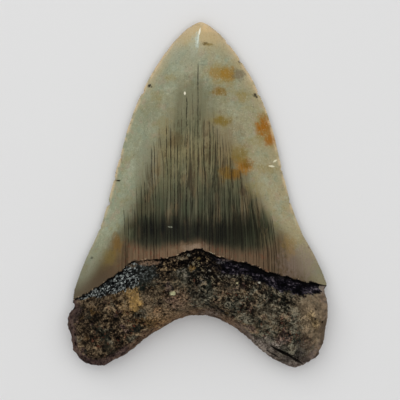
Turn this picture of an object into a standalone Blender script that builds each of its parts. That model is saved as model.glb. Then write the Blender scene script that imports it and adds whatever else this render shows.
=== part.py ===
"""Fossil megalodon tooth: a broad upper front tooth of a giant shark, one solid piece of crown, bourlette and root.

Run it with: blender --background --python part.py

The tooth lies on its flatter labial side, as it rests on a table, with its domed lingual side up. +Z is up and
the table is Z = 0, +Y points to the tip, X runs across the root, and the origin is the middle of the footprint.
Lengths are in millimetres up to the last step, where MM turns them into metres.

The surface is two sheets, lingual above and labial below, that meet along the tooth's outline. Each sheet is a
grid: its columns run from the root's base to the tip, and one of its rows follows the foot of the enamel. First
each grid point is placed in plan, inside the outline, and then the height functions lift it.
"""

import math

import bmesh
import bpy
import numpy as np
from mathutils import Vector, noise

MM = 0.001
NAME = "tooth"

# Driving heights above the table, in mm, with the tooth lying on its labial side.
ROOT_THICKNESS = 24.0  # top of the swell below the middle of the enamel
LOBE_THICKNESS = 15.0  # top of each root lobe near its end
CROWN_DOME = 12.6  # lingual dome above the cutting edges, at the foot of the enamel
CROWN_DOME_TIP = 2.2  # the same close to the tip
EDGE_HEIGHT = 3.3  # cutting edges along most of the crown
SHOULDER_HEIGHT = 5.0  # cutting edges at the crown's shoulders
ROOT_EDGE_HEIGHT = 8.6  # widest line around the root's rounded edge
REST_AT = 0.62  # share of the crown's length, from its foot, at which the labial side touches the table
LABIAL_FOOT_GAP = 1.3  # labial side above the table at the foot of the enamel
LABIAL_TIP_GAP = 1.5  # the same at the tip
LABIAL_HOLLOW = 1.6  # labial hollow between the two root lobes
PRESSED_FLAT = 0.14  # how much of each labial contact is worn flat

# Edges, steps and relief, in mm.
ENAMEL_STEP = 0.7  # the lingual enamel ends in a step this high above the bourlette
LABIAL_STEP = 0.45
STEP_SHARE = 0.014  # width of that step in plan, as a share of the root's length
LINGUAL_ROUNDING = 9.0  # radius of the root's upper edge
LABIAL_ROUNDING = 5.5  # radius of its lower edge
TIP_ROUNDING = 7.0
LUMP_HEIGHT = 0.75
LUMP_SIZE = 7.5
FORAMEN = (-4.6, -33.4, 1.9, 1.5)  # nutrient hole: x, y, radius and depth
FLAKE_SPAN = (18.0, 39.0)  # x range of the shelf where a layer broke off along the right lobe's base
FLAKE_WIDTH = 2.9
FLAKE_TOP = 0.9  # height of the shelf above the root's widest line

# The outline in plan, as a few points on each smooth stretch, from the root's base up to the tip.
LEFT_SHOULDER = (-44.2, -37.9)
RIGHT_SHOULDER = (46.2, -32.6)
LEFT_CUTTING_EDGE = [
    LEFT_SHOULDER, (-43.4, -33.0), (-39.6, -22.9), (-35.0, -12.8), (-31.7, -2.4), (-29.2, 7.5), (-26.7, 16.5),
    (-24.1, 25.5), (-20.7, 34.2), (-15.8, 43.7), (-9.8, 52.6), (-4.5, 58.2), (-1.8, 60.2),
]
RIGHT_CUTTING_EDGE = [
    RIGHT_SHOULDER, (45.8, -30.4), (42.0, -22.0), (37.6, -13.8), (33.9, -4.4), (31.4, 4.9), (29.1, 14.4),
    (26.7, 24.0), (23.0, 34.2), (18.2, 43.7), (12.6, 52.0), (8.3, 57.0), (4.4, 60.2),
]
TIP = [(-1.8, 60.2), (1.3, 61.3), (4.4, 60.2)]
LEFT_ROOT_SIDE = [
    (-42.4, -58.1), (-44.2, -55.4), (-45.0, -50.6), (-46.2, -46.4), (-45.9, -42.4), (-44.3, -40.2), (-43.9, -38.7),
    LEFT_SHOULDER,
]
RIGHT_ROOT_SIDE = [
    (43.0, -57.0), (45.2, -53.0), (46.0, -48.6), (46.8, -42.0), (46.6, -37.6), (45.7, -34.4), (45.6, -33.3),
    RIGHT_SHOULDER,
]
ROOT_BASE = [
    (-42.4, -58.1), (-39.6, -60.3), (-34.4, -61.0), (-30.2, -59.8), (-24.2, -56.4), (-18.0, -51.5), (-9.6, -46.2),
    (-4.0, -43.6), (0.0, -43.4), (4.6, -43.7), (10.5, -46.1), (15.6, -49.2), (19.8, -53.2), (25.0, -57.4),
    (30.6, -60.7), (34.8, -61.7), (39.2, -60.2), (43.0, -57.0),
]
# The foot of the enamel on each side, from the left shoulder to the right one.
LINGUAL_FOOT = [
    LEFT_SHOULDER, (-35.8, -33.2), (-27.2, -27.2), (-23.0, -24.0), (-16.0, -22.8), (-9.6, -22.1), (-4.4, -20.4),
    (0.4, -18.8), (4.2, -20.6), (10.6, -22.7), (18.0, -24.6), (26.6, -27.8), (36.0, -30.2), RIGHT_SHOULDER,
]
LABIAL_FOOT = [LEFT_SHOULDER, (-34.0, -34.4), (-19.0, -30.2), (0.0, -27.4), (20.0, -29.0), (35.0, -31.8), RIGHT_SHOULDER]
# Height of the root's swollen ridge above the table along x.
ROOT_RIDGE = [
    (-48.0, 11.5), (-36.0, LOBE_THICKNESS), (-22.0, 19.2), (0.0, ROOT_THICKNESS), (22.0, 19.6),
    (36.0, LOBE_THICKNESS + 0.6), (48.0, 12.0),
]

# Grid sizes. The two sheets hold 4 * COLUMNS * (ROOT_ROWS + 1 + CROWN_ROWS) triangles.
COLUMNS = 44
ROOT_ROWS = 20
CROWN_ROWS = 33


def clear_scene():
    for obj in list(bpy.data.objects):
        bpy.data.objects.remove(obj)


def smooth_step(low, high, value):
    """0 below low, 1 above high, and a smooth S between them."""
    share = np.clip((value - low) / (high - low), 0.0, 1.0)
    return share * share * (3.0 - 2.0 * share)


def rounded(share):
    """Quarter-round profile: 0 at an edge, steep there, and 1 from one radius inwards."""
    inward = 1.0 - np.clip(share, 0.0, 1.0)
    return np.sqrt(1.0 - inward * inward)


def crowded(count, crowding):
    """count + 1 shares from 0 to 1, closer together near both ends."""
    even = np.linspace(0.0, 1.0, count + 1)
    return (1.0 - crowding) * even + crowding * (1.0 - np.cos(math.pi * even)) / 2.0


def curve_through(points, samples_per_span=24):
    """A smooth curve through the points (Catmull-Rom), as closely spaced points."""
    given = np.array(points, float)
    padded = np.vstack([2 * given[0] - given[1], given, 2 * given[-1] - given[-2]])
    steps = np.linspace(0.0, 1.0, samples_per_span, endpoint=False)[:, None]
    spans = []
    for before, start, end, after in zip(padded, padded[1:], padded[2:], padded[3:]):
        bend = 2 * before - 5 * start + 4 * end - after
        twist = 3 * (start - end) + after - before
        spans.append(start + 0.5 * steps * ((end - before) + steps * (bend + steps * twist)))
    return np.vstack([*spans, given[-1:]])


def point_at(curve, shares):
    """Points of the curve at these shares of its length."""
    lengths = np.concatenate([[0.0], np.cumsum(np.linalg.norm(np.diff(curve, axis=0), axis=1))])
    wanted = np.asarray(shares) * lengths[-1]
    return np.stack([np.interp(wanted, lengths, curve[:, axis]) for axis in (0, 1)], axis=-1)


def patch(bottom, top, left, right, across, along):
    """Plan points of a four-sided patch between its border curves (a Coons patch), one row for each share along."""
    a = across[None, :, None]
    b = along[:, None, None]
    low, high = point_at(bottom, across)[None], point_at(top, across)[None]
    west, east = point_at(left, along)[:, None], point_at(right, along)[:, None]
    corners = (1 - a) * ((1 - b) * low[:, :1] + b * high[:, :1]) + a * ((1 - b) * low[:, -1:] + b * high[:, -1:])
    return (1 - b) * low + b * high + (1 - a) * west + a * east - corners


def inset_of(plan, outline):
    """Distance of each root point from the tooth's outline, which holds the grid's first row and its end columns."""
    nearest = [np.linalg.norm(outline - point, axis=1).min() for point in plan.reshape(-1, 2)]
    inset = np.array(nearest).reshape(plan.shape[:2])
    inset[0], inset[:, 0], inset[:, -1] = 0.0, 0.0, 0.0
    return inset


def lumps(plan, seed_height):
    """Smooth seeded relief between about -1 and 1."""
    heights = [
        noise.noise(Vector((x / LUMP_SIZE, y / LUMP_SIZE, seed_height)))
        + 0.5 * noise.noise(Vector((2.3 * x / LUMP_SIZE, 2.3 * y / LUMP_SIZE, seed_height)))
        for x, y in plan.reshape(-1, 2)
    ]
    return np.array(heights).reshape(plan.shape[:2])


def edge_height_of_crown(t):
    """Height of the cutting edges at a share t of the crown's length, from its foot."""
    return EDGE_HEIGHT + (SHOULDER_HEIGHT - EDGE_HEIGHT) * (1 - smooth_step(0.0, 0.3, t))


def lingual_dome(u):
    """Cross-section of the crown's domed side: 1 in the middle, 0 at the cutting edges (u = -1 and 1)."""
    return (1 - np.abs(u) ** 2.2) ** 1.08


def crown_heights(plan, u, t, lingual):
    """Heights of one side of the crown. t is the share of its length, from foot to tip."""
    edge = edge_height_of_crown(t) * np.ones_like(u)
    below_tip = (TIP[1][1] - plan[..., 1].min(axis=1, keepdims=True)) / TIP_ROUNDING
    tip = rounded(below_tip) * (t < 1.0)
    if lingual:
        dome = CROWN_DOME + (CROWN_DOME_TIP - CROWN_DOME) * t + 1.8 * np.sin(math.pi * t)
        return edge + dome * lingual_dome(u) * tip
    towards_foot = LABIAL_FOOT_GAP * ((REST_AT - t) / REST_AT) ** 2
    towards_tip = LABIAL_TIP_GAP * ((t - REST_AT) / (1 - REST_AT)) ** 2
    gap = np.where(t < REST_AT, towards_foot, towards_tip) - PRESSED_FLAT
    return edge - (edge - gap) * (1 - u * u) * tip


def root_heights(plan, u, b, reach, inset, lingual):
    """Heights of one side of the root. b is the share of its length, from base to foot, and reach that length."""
    below_foot = (1 - b) * reach
    edge = SHOULDER_HEIGHT + (ROOT_EDGE_HEIGHT - SHOULDER_HEIGHT) * smooth_step(0.0, 8.0, below_foot)
    opening = smooth_step(-1.5, 8.0, below_foot)
    off_border = np.clip(inset / 1.5, 0.0, 1.0)
    x = plan[..., 0]
    if lingual:
        at_foot = SHOULDER_HEIGHT + CROWN_DOME * lingual_dome(u) - ENAMEL_STEP * off_border
        ridge = curve_through(ROOT_RIDGE)
        swell = np.interp(x, ridge[:, 0], ridge[:, 1]) - 4.0 * smooth_step(10.0, 26.0, below_foot)
        swell = swell + LUMP_HEIGHT * lumps(plan, 3.1)
        inner = at_foot + (swell - at_foot) * smooth_step(0.0, 10.5, below_foot)
        top = edge + (inner - edge) * rounded(inset / (LINGUAL_ROUNDING * opening)) - foramen(plan)
        return top + (edge + FLAKE_TOP * rounded(inset) - top) * flake(x, inset)
    at_foot = edge - (SHOULDER_HEIGHT - LABIAL_FOOT_GAP) * (1 - u * u) + LABIAL_STEP * off_border
    hollow = LABIAL_HOLLOW * (1 - smooth_step(4.0, 27.0, np.abs(x))) - PRESSED_FLAT
    hollow = hollow + 0.35 * LUMP_HEIGHT * np.maximum(lumps(plan, 8.4), 0.0)
    inner = at_foot + (hollow - at_foot) * smooth_step(0.0, 10.0, below_foot)
    return edge - (edge - inner) * rounded(inset / (LABIAL_ROUNDING * opening))


def foramen(plan):
    """Depth of the nutrient hole below the root's swell."""
    x, y, radius, depth = FORAMEN
    away = np.hypot(plan[..., 0] - x, plan[..., 1] - y)
    return depth * (1 - smooth_step(0.2 * radius, 1.6 * radius, away))


def flake(x, inset):
    """1 on the shelf along the right lobe's base, 0 off it."""
    start, end = FLAKE_SPAN
    along = smooth_step(start, start + 6.0, x) * (1 - smooth_step(end - 6.0, end, x))
    return along * (1 - smooth_step(FLAKE_WIDTH - 1.0, FLAKE_WIDTH + 1.0, inset))


def sheet_points(lingual, outline):
    """Grid of points, in mm, of the lingual or the labial side, rows from the root's base to the tip."""
    foot = curve_through(LINGUAL_FOOT if lingual else LABIAL_FOOT)
    across = crowded(COLUMNS, 0.6)
    u = 2 * across[None, :] - 1

    base = curve_through(ROOT_BASE)
    reach = np.linalg.norm(point_at(foot, across) - point_at(base, across), axis=1)[None, :]
    up_root = np.linspace(0.0, 1.0, ROOT_ROWS + 1) ** 1.6 * (1 - STEP_SHARE)
    root = patch(base, foot, curve_through(LEFT_ROOT_SIDE), curve_through(RIGHT_ROOT_SIDE), across, up_root)
    root_z = root_heights(root, u, up_root[:, None], reach, inset_of(root, outline), lingual)

    up_crown = crowded(CROWN_ROWS, 0.35)
    left, right = curve_through(LEFT_CUTTING_EDGE), curve_through(RIGHT_CUTTING_EDGE)
    crown = patch(foot, curve_through(TIP), left, right, across, up_crown)
    crown_z = crown_heights(crown, u, up_crown[:, None], lingual)

    plan = np.vstack([root, crown])
    heights = np.maximum(np.vstack([root_z, crown_z]), 0.0)
    return np.dstack([plan, heights])


def outline_points():
    """The whole outline of the tooth in plan, closely spaced."""
    base, tip = curve_through(ROOT_BASE), curve_through(TIP)
    left = np.vstack([curve_through(LEFT_ROOT_SIDE), curve_through(LEFT_CUTTING_EDGE)])
    right = np.vstack([curve_through(RIGHT_ROOT_SIDE), curve_through(RIGHT_CUTTING_EDGE)])
    return np.vstack([left, tip, right[::-1], base[::-1]])


def add_sheet(mesh, points, faces_down):
    """Adds a grid to the bmesh and moves its vertices to the sheet's points."""
    rows, columns = points.shape[0] - 1, points.shape[1] - 1
    verts = bmesh.ops.create_grid(mesh, x_segments=columns, y_segments=rows, size=1.0)["verts"]
    for vert in verts:
        column = round((vert.co.x + 1) / 2 * columns)
        row = round((vert.co.y + 1) / 2 * rows)
        vert.co = points[row, column] * MM
    if faces_down:
        bmesh.ops.reverse_faces(mesh, faces=list({face for vert in verts for face in vert.link_faces}))


def fossil_material():
    material = bpy.data.materials.new("fossil_tooth")
    material.use_nodes = True
    shader = material.node_tree.nodes["Principled BSDF"]
    shader.inputs["Base Color"].default_value = (0.21, 0.19, 0.13, 1.0)
    shader.inputs["Roughness"].default_value = 0.45
    shader.inputs["Metallic"].default_value = 0.0
    return material


def build_tooth():
    outline = outline_points()
    lingual, labial = sheet_points(True, outline), sheet_points(False, outline)
    both = np.vstack([lingual.reshape(-1, 3), labial.reshape(-1, 3)])
    middle = (both.min(axis=0) + both.max(axis=0)) / 2 * (1, 1, 0)

    mesh = bmesh.new()
    add_sheet(mesh, lingual - middle, faces_down=False)
    add_sheet(mesh, labial - middle, faces_down=True)
    bmesh.ops.remove_doubles(mesh, verts=mesh.verts, dist=0.01 * MM)
    data = bpy.data.meshes.new(NAME)
    mesh.to_mesh(data)
    mesh.free()
    data.shade_smooth()
    data.set_sharp_from_angle(angle=math.radians(35))
    data.materials.append(fossil_material())

    tooth = bpy.data.objects.new(NAME, data)
    collection = bpy.data.collections.new("megalodon_tooth")
    bpy.context.scene.collection.children.link(collection)
    collection.objects.link(tooth)


clear_scene()
build_tooth()
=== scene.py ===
"""Looks of the fossil megalodon tooth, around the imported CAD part.

One fine mesh, in the form of the CAD solid, replaces it. It adds what is too small for the CAD: the
serrations of the cutting edges, the cracks in the enamel, the ragged foot of the enamel and the pitted bone
of the root. Then come the materials of enamel and root, a plain pale floor, soft light and a camera that
looks straight down.

Lengths are in millimetres in the CAD's frame, with +Y to the tip and +Z up, until the mesh is made in metres.
Every point of the surface has two coordinates: u runs from -1 at the left outline to 1 at the right one, and
v is 0 at the root's base, 1 at the foot of the enamel and 2 at the tip. LINGUAL is the upper side and LABIAL
the lower one.
"""

import math

import bpy
import numpy as np
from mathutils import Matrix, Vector, kdtree, noise


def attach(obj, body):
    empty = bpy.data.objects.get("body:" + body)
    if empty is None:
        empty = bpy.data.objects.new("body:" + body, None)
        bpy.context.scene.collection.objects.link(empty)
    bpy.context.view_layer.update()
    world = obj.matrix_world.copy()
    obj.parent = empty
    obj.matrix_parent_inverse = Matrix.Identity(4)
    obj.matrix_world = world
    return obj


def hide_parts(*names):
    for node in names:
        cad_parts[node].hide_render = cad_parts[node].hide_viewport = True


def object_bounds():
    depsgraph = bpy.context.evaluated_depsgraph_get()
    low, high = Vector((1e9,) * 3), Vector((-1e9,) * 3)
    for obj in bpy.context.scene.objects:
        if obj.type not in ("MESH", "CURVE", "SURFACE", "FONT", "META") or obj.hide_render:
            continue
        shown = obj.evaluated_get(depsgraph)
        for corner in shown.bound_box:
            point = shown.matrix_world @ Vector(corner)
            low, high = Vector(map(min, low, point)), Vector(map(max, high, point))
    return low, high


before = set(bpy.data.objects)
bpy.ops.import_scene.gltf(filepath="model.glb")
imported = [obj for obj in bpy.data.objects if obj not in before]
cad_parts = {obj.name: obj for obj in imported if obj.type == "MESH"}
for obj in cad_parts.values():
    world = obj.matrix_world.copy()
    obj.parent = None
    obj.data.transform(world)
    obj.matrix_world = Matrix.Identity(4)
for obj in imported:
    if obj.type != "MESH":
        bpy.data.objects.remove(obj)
cad_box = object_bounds()

MM = 0.001
LINGUAL, LABIAL, OUTLINE = 1, -1, 0

# ---- Form, as in the CAD -----------------------------------------------------------------------------

ROOT_THICKNESS = 24.0
LOBE_THICKNESS = 15.0
CROWN_DOME = 12.6
CROWN_DOME_TIP = 2.2
EDGE_HEIGHT = 3.3
SHOULDER_HEIGHT = 5.0
ROOT_EDGE_HEIGHT = 8.6
REST_AT = 0.62
LABIAL_FOOT_GAP = 1.3
LABIAL_TIP_GAP = 1.5
LABIAL_HOLLOW = 1.6
PRESSED_FLAT = 0.14
ENAMEL_STEP = 0.7
LABIAL_STEP = 0.45
STEP_SHARE = 0.014
LINGUAL_ROUNDING = 9.0
LABIAL_ROUNDING = 5.5
TIP_ROUNDING = 7.0
LUMP_HEIGHT = 0.75
LUMP_SIZE = 7.5
FORAMEN = (-4.6, -33.4, 1.9, 1.5)
FLAKE_SPAN = (18.0, 39.0)
FLAKE_WIDTH = 2.9
FLAKE_TOP = 0.9
FLAKE_SOFTNESS = 0.4
FLAKE_ENDS = 6.0
EDGE_RUN = 8.0  # below the foot, the root's edge takes this far to reach its height
SWELL_RUN, HOLLOW_RUN = 10.5, 10.0  # and its two faces this far to reach theirs
SWELL_DROP, SWELL_DROP_SPAN = 4.0, (10.0, 26.0)
HOLLOW_SPAN = (4.0, 27.0)  # from the middle, where the labial hollow fades out
LUMP_LAYER = {LINGUAL: 3.1, LABIAL: 8.4}
LABIAL_LUMP_SHARE = 0.35

LEFT_SHOULDER = (-44.2, -37.9)
RIGHT_SHOULDER = (46.2, -32.6)
LEFT_CUTTING_EDGE = [
    LEFT_SHOULDER, (-43.4, -33.0), (-39.6, -22.9), (-35.0, -12.8), (-31.7, -2.4), (-29.2, 7.5), (-26.7, 16.5),
    (-24.1, 25.5), (-20.7, 34.2), (-15.8, 43.7), (-9.8, 52.6), (-4.5, 58.2), (-1.8, 60.2),
]
RIGHT_CUTTING_EDGE = [
    RIGHT_SHOULDER, (45.8, -30.4), (42.0, -22.0), (37.6, -13.8), (33.9, -4.4), (31.4, 4.9), (29.1, 14.4),
    (26.7, 24.0), (23.0, 34.2), (18.2, 43.7), (12.6, 52.0), (8.3, 57.0), (4.4, 60.2),
]
TIP = [(-1.8, 60.2), (1.3, 61.3), (4.4, 60.2)]
LEFT_ROOT_SIDE = [
    (-42.4, -58.1), (-44.2, -55.4), (-45.0, -50.6), (-46.2, -46.4), (-45.9, -42.4), (-44.3, -40.2),
    (-43.9, -38.7), LEFT_SHOULDER,
]
RIGHT_ROOT_SIDE = [
    (43.0, -57.0), (45.2, -53.0), (46.0, -48.6), (46.8, -42.0), (46.6, -37.6), (45.7, -34.4), (45.6, -33.3),
    RIGHT_SHOULDER,
]
ROOT_BASE = [
    (-42.4, -58.1), (-39.6, -60.3), (-34.4, -61.0), (-30.2, -59.8), (-24.2, -56.4), (-18.0, -51.5),
    (-9.6, -46.2), (-4.0, -43.6), (0.0, -43.4), (4.6, -43.7), (10.5, -46.1), (15.6, -49.2), (19.8, -53.2),
    (25.0, -57.4), (30.6, -60.7), (34.8, -61.7), (39.2, -60.2), (43.0, -57.0),
]
LINGUAL_FOOT = [
    LEFT_SHOULDER, (-35.8, -33.2), (-27.2, -27.2), (-23.0, -24.0), (-16.0, -22.8), (-9.6, -22.1),
    (-4.4, -20.4), (0.4, -18.8), (4.2, -20.6), (10.6, -22.7), (18.0, -24.6), (26.6, -27.8), (36.0, -30.2),
    RIGHT_SHOULDER,
]
LABIAL_FOOT = [
    LEFT_SHOULDER, (-34.0, -34.4), (-19.0, -30.2), (0.0, -27.4), (20.0, -29.0), (35.0, -31.8),
    RIGHT_SHOULDER,
]
ROOT_RIDGE = [
    (-48.0, 11.5), (-36.0, LOBE_THICKNESS), (-22.0, 19.2), (0.0, ROOT_THICKNESS), (22.0, 19.6),
    (36.0, LOBE_THICKNESS + 0.6), (48.0, 12.0),
]

# ---- Fine relief -------------------------------------------------------------------------------------

FIRST_COLUMNS, FIRST_ROOT_ROWS, FIRST_CROWN_ROWS = 24, 10, 36
ALONG_CRACKS = 0.3  # a face beside a crack may be longer along it by one over this
SERRATIONS = 4 * FIRST_CROWN_ROWS  # along each cutting edge
SERRATION_DEPTH = 0.26
TIP_X = 1.4  # the left cutting edge ends here, and the right one starts
SERRATION_REACH = 0.8  # how far in from the edge a serration is felt
# Chips in the cutting edges: side, y, half width and depth.
NICKS = [
    (-1, 36.6, 0.7, 0.55), (-1, -3.2, 0.8, 0.75), (-1, 13.2, 0.5, 0.4), (-1, 5.6, 0.6, 0.45),
    (-1, -12.0, 0.5, 0.35), (1, 36.0, 0.7, 0.5), (1, 47.6, 0.6, 0.45), (1, 9.0, 0.6, 0.45),
    (1, -2.6, 0.5, 0.4), (1, 54.0, 0.6, 0.4),
]
FLAKE_SEAM = [(22, 2.9), (26, 3.7), (32, 4.3), (37, 1.6), (39, 0.8)]  # x and distance from the outline
SEAM_DEPTH, SEAM_HALF_WIDTH = 0.9, 0.3
BOURLETTE_WIDTHS = [  # x and width
    (-44, 0.8), (-38, 1.8), (-33, 4.0), (-27, 7.4), (-22, 8.6), (-16, 7.2), (-6, 4.6), (8, 4.6), (20, 4.4),
    (27, 4.6), (32, 5.2), (38, 4.6), (43, 3.4), (46, 1.2),
]
CRACK_DEPTH = 0.12
CRACK_HALF_WIDTH = 0.15
UV_SHIFT, UV_MARGIN = (84.0, -8.0), 0.005  # where the lower side lies beside the upper one, and the border
BOX_GAP = 0.001  # the mesh stays this far inside the CAD solid's box
SHARP_ANGLE = 75  # degrees between faces whose edge is shaded sharp
FOOT_RAGGEDNESS = 0.5

FIBRE_START_Y, LEAN_RISE = -22.0, 45.0  # fibres lean from this y on, and by their full lean after this rise
CRACKED = 0.02  # a crack weaker than this is left out of the mesh
CUT_ZONE = (0.12, 0.88)  # an edge is cut by a crack only within these shares of its length
# Longest edges wanted on plain enamel, at a crack, at the enamel's foot and on the root.
EDGE_SIZES = {LINGUAL: (1.5, 0.27, 0.38, 0.5), LABIAL: (2.2, 0.36, 0.8, 0.88)}
CUTTING_EDGE_SIZE, SEAM_SIZE = 0.22, 0.26

# Cracks run down the crown to the enamel's foot. Their tops lie below a line across the crown, given here as
# (x, y). core is the upper border of the darker enamel around them in the same way, and band the lower border
# of its dark band. longest has x, y of the top and strength.
LINGUAL_CRACKS = dict(
    span=(-25.0, 28.4), spacing=1.2, seed=4.0,
    tops=[(-25, -4), (-19.6, 6), (-16, 15), (-12, 24), (-6, 26), (-2, 28), (3, 27), (8, 24), (12, 19),
          (18, 8), (23, 1), (28.4, -8)],
    core=[(-25, -6), (-19.6, 4), (-16, 15), (-12, 25), (-5, 35), (1, 38), (6, 29), (12, 22), (18, 12),
          (23, 5), (28.4, -7)],
    band=[(-26, -15.5), (-23, -17.5), (-20, -18.7), (-11.4, -18.3), (-4.8, -17.4), (-1.4, -16.5),
          (1.2, -16.6), (5.0, -17.8), (13, -19.3), (18.3, -20), (23, -19.6), (26.5, -17.5), (29.5, -14)],
    lean=[(-25, -0.07), (-18, -0.05), (-8, 0.0), (6, 0.0), (14, -0.05), (22, -0.16), (28.4, -0.26)],
    longest=[(0.3, 47.5, 1.0), (-3.7, 36.0, 0.8), (-1.6, 38.0, 0.3)],
)
LABIAL_CRACKS = dict(
    span=(-22.0, 24.0), spacing=3.1, seed=9.0,
    tops=[(-22, -12), (-10, 2), (0, 12), (10, 4), (24, -14)],
    core=[(-22, -8), (-10, 8), (0, 20), (10, 10), (24, -10)],
    band=[(-22, -27), (0, -22), (24, -26)],
    lean=[(-22, 0.1), (0, 0.0), (24, -0.1)],
    longest=[(2.0, 30.0, 0.8)],
)


def smooth_step(low, high, value):
    """0 below low, 1 above high, and a smooth S between them."""
    share = np.clip((value - low) / (high - low), 0.0, 1.0)
    return share * share * (3.0 - 2.0 * share)


def rounded(share):
    """Quarter-round profile: 0 at an edge, steep there, and 1 from one radius inwards."""
    inward = 1.0 - np.clip(share, 0.0, 1.0)
    return np.sqrt(1.0 - inward * inward)


def curve_through(points, samples_per_span=48):
    """A smooth curve through the points (Catmull-Rom), as closely spaced points."""
    given = np.array(points, float)
    padded = np.vstack([2 * given[0] - given[1], given, 2 * given[-1] - given[-2]])
    steps = np.linspace(0.0, 1.0, samples_per_span, endpoint=False)[:, None]
    spans = []
    for before, start, end, after in zip(padded, padded[1:], padded[2:], padded[3:]):
        bend = 2 * before - 5 * start + 4 * end - after
        twist = 3 * (start - end) + after - before
        spans.append(start + 0.5 * steps * ((end - before) + steps * (bend + steps * twist)))
    return np.vstack([*spans, given[-1:]])


def lengths_along(curve):
    return np.concatenate([[0.0], np.cumsum(np.linalg.norm(np.diff(curve, axis=0), axis=1))])


def point_at(curve, shares):
    """Points of the curve at these shares of its length."""
    lengths = lengths_along(curve)
    wanted = np.asarray(shares) * lengths[-1]
    return np.stack([np.interp(wanted, lengths, curve[:, axis]) for axis in (0, 1)], axis=-1)


base_curve, tip_curve = curve_through(ROOT_BASE), curve_through(TIP)
foot_curve = {LINGUAL: curve_through(LINGUAL_FOOT), LABIAL: curve_through(LABIAL_FOOT)}
root_side = {-1: curve_through(LEFT_ROOT_SIDE), 1: curve_through(RIGHT_ROOT_SIDE)}
cutting_edge = {-1: curve_through(LEFT_CUTTING_EDGE), 1: curve_through(RIGHT_CUTTING_EDGE)}
ridge_curve = curve_through(ROOT_RIDGE)


class Outline:
    """The tooth's outline in plan, anticlockwise from the tip's left end, with its outward normals."""

    def __init__(self):
        left = [cutting_edge[-1][::-1], root_side[-1][::-1][1:]]
        right = [base_curve[1:], root_side[1][1:], cutting_edge[1][1:], tip_curve[::-1][1:]]
        self.points = np.vstack(left + right)
        ahead, behind = np.roll(self.points, -3, axis=0), np.roll(self.points, 3, axis=0)
        tangent = (ahead - behind) / np.linalg.norm(ahead - behind, axis=1)[:, None]
        self.normals = np.stack([tangent[:, 1], -tangent[:, 0]], axis=-1)
        self.tree = kdtree.KDTree(len(self.points))
        for index, (x, y) in enumerate(self.points):
            self.tree.insert((x, y, 0.0), index)
        self.tree.balance()

    def nearest(self, plan):
        """Distance of each plan point to the outline, the nearest outline point and its outward normal."""
        index = np.array([self.tree.find((x, y, 0.0))[1] for x, y in plan.tolist()], int).reshape(-1)
        distance, place = np.full(len(plan), np.inf), self.points[index]
        for first in (index - 1, index):
            origin = self.points[first]
            step = self.points[(first + 1) % len(self.points)] - origin
            share = ((plan - origin) * step).sum(axis=1) / np.maximum((step * step).sum(axis=1), 1e-12)
            foot = origin + np.clip(share, 0, 1)[:, None] * step
            away = np.linalg.norm(plan - foot, axis=1)
            place = np.where((away < distance)[:, None], foot, place)
            distance = np.minimum(distance, away)
        return distance, place, self.normals[index]


outline = Outline()
MIDDLE = (outline.points.min(axis=0) + outline.points.max(axis=0)) / 2


def noises(*coordinates):
    """Smooth noise at each point given by these coordinates, of which some may be single numbers."""
    points = np.column_stack(np.broadcast_arrays(*coordinates))
    return np.array([noise.noise(Vector(point)) for point in points.tolist()])


def noise_at(points, size, seed=0.0, octaves=1):
    """Seeded smooth noise between about -1 and 1 at each point, with features of about this size."""
    shift = Vector((seed, 1.7 * seed, -0.6 * seed))
    scaled = np.zeros((len(points), 3))
    scaled[:, : points.shape[1]] = points / size
    if octaves == 1:
        return np.array([noise.noise(Vector(point) + shift) for point in scaled])
    return np.array([noise.fractal(Vector(point) + shift, 0.7, 2.2, octaves) for point in scaled])


def lumps(plan, layer):
    """Smooth relief of the root between about -1 and 1, as in the CAD."""
    x, y = plan.T
    fine = noises(2.3 * x / LUMP_SIZE, 2.3 * y / LUMP_SIZE, layer)
    return noises(x / LUMP_SIZE, y / LUMP_SIZE, layer) + 0.5 * fine


# ---- The smooth surface ------------------------------------------------------------------------------


def coons(bottom, top, left, right, across, along):
    """Plan points of a four-sided patch between its border curves (a Coons patch)."""
    a, b = across[:, None], along[:, None]
    low, high = point_at(bottom, across), point_at(top, across)
    west, east = point_at(left, along), point_at(right, along)
    corners = (1 - a) * ((1 - b) * bottom[0] + b * top[0]) + a * ((1 - b) * bottom[-1] + b * top[-1])
    return (1 - b) * low + b * high + (1 - a) * west + a * east - corners


def plan_at(u, v, side):
    """Plan points of one side."""
    plan, across, on_root = np.empty((len(u), 2)), (u + 1) / 2, v < 1
    foot = foot_curve[side]
    plan[on_root] = coons(base_curve, foot, root_side[-1], root_side[1], across[on_root], v[on_root])
    on_crown, left, right = ~on_root, cutting_edge[-1], cutting_edge[1]
    plan[on_crown] = coons(foot, tip_curve, left, right, across[on_crown], v[on_crown] - 1)
    return plan


def lingual_dome(u):
    return (1 - np.abs(u) ** 2.2) ** 1.08


def crown_heights(u, t, lowest_y, side):
    edge = EDGE_HEIGHT + (SHOULDER_HEIGHT - EDGE_HEIGHT) * (1 - smooth_step(0.0, 0.3, t))
    tip = rounded((TIP[1][1] - lowest_y) / TIP_ROUNDING) * (t < 1.0)
    if side == LINGUAL:
        dome = CROWN_DOME + (CROWN_DOME_TIP - CROWN_DOME) * t + 1.8 * np.sin(math.pi * t)
        return edge + dome * lingual_dome(u) * tip
    towards_foot = LABIAL_FOOT_GAP * ((REST_AT - t) / REST_AT) ** 2
    towards_tip = LABIAL_TIP_GAP * ((t - REST_AT) / (1 - REST_AT)) ** 2
    gap = np.where(t < REST_AT, towards_foot, towards_tip) - PRESSED_FLAT
    return edge - (edge - gap) * (1 - u * u) * tip


def flake(x, inset):
    """1 on the shelf along the right lobe's base, where a layer has broken off, and 0 elsewhere."""
    start, end = FLAKE_SPAN
    along = smooth_step(start, start + FLAKE_ENDS, x) * (1 - smooth_step(end - FLAKE_ENDS, end, x))
    return along * (1 - smooth_step(FLAKE_WIDTH - FLAKE_SOFTNESS, FLAKE_WIDTH + FLAKE_SOFTNESS, inset))


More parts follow.
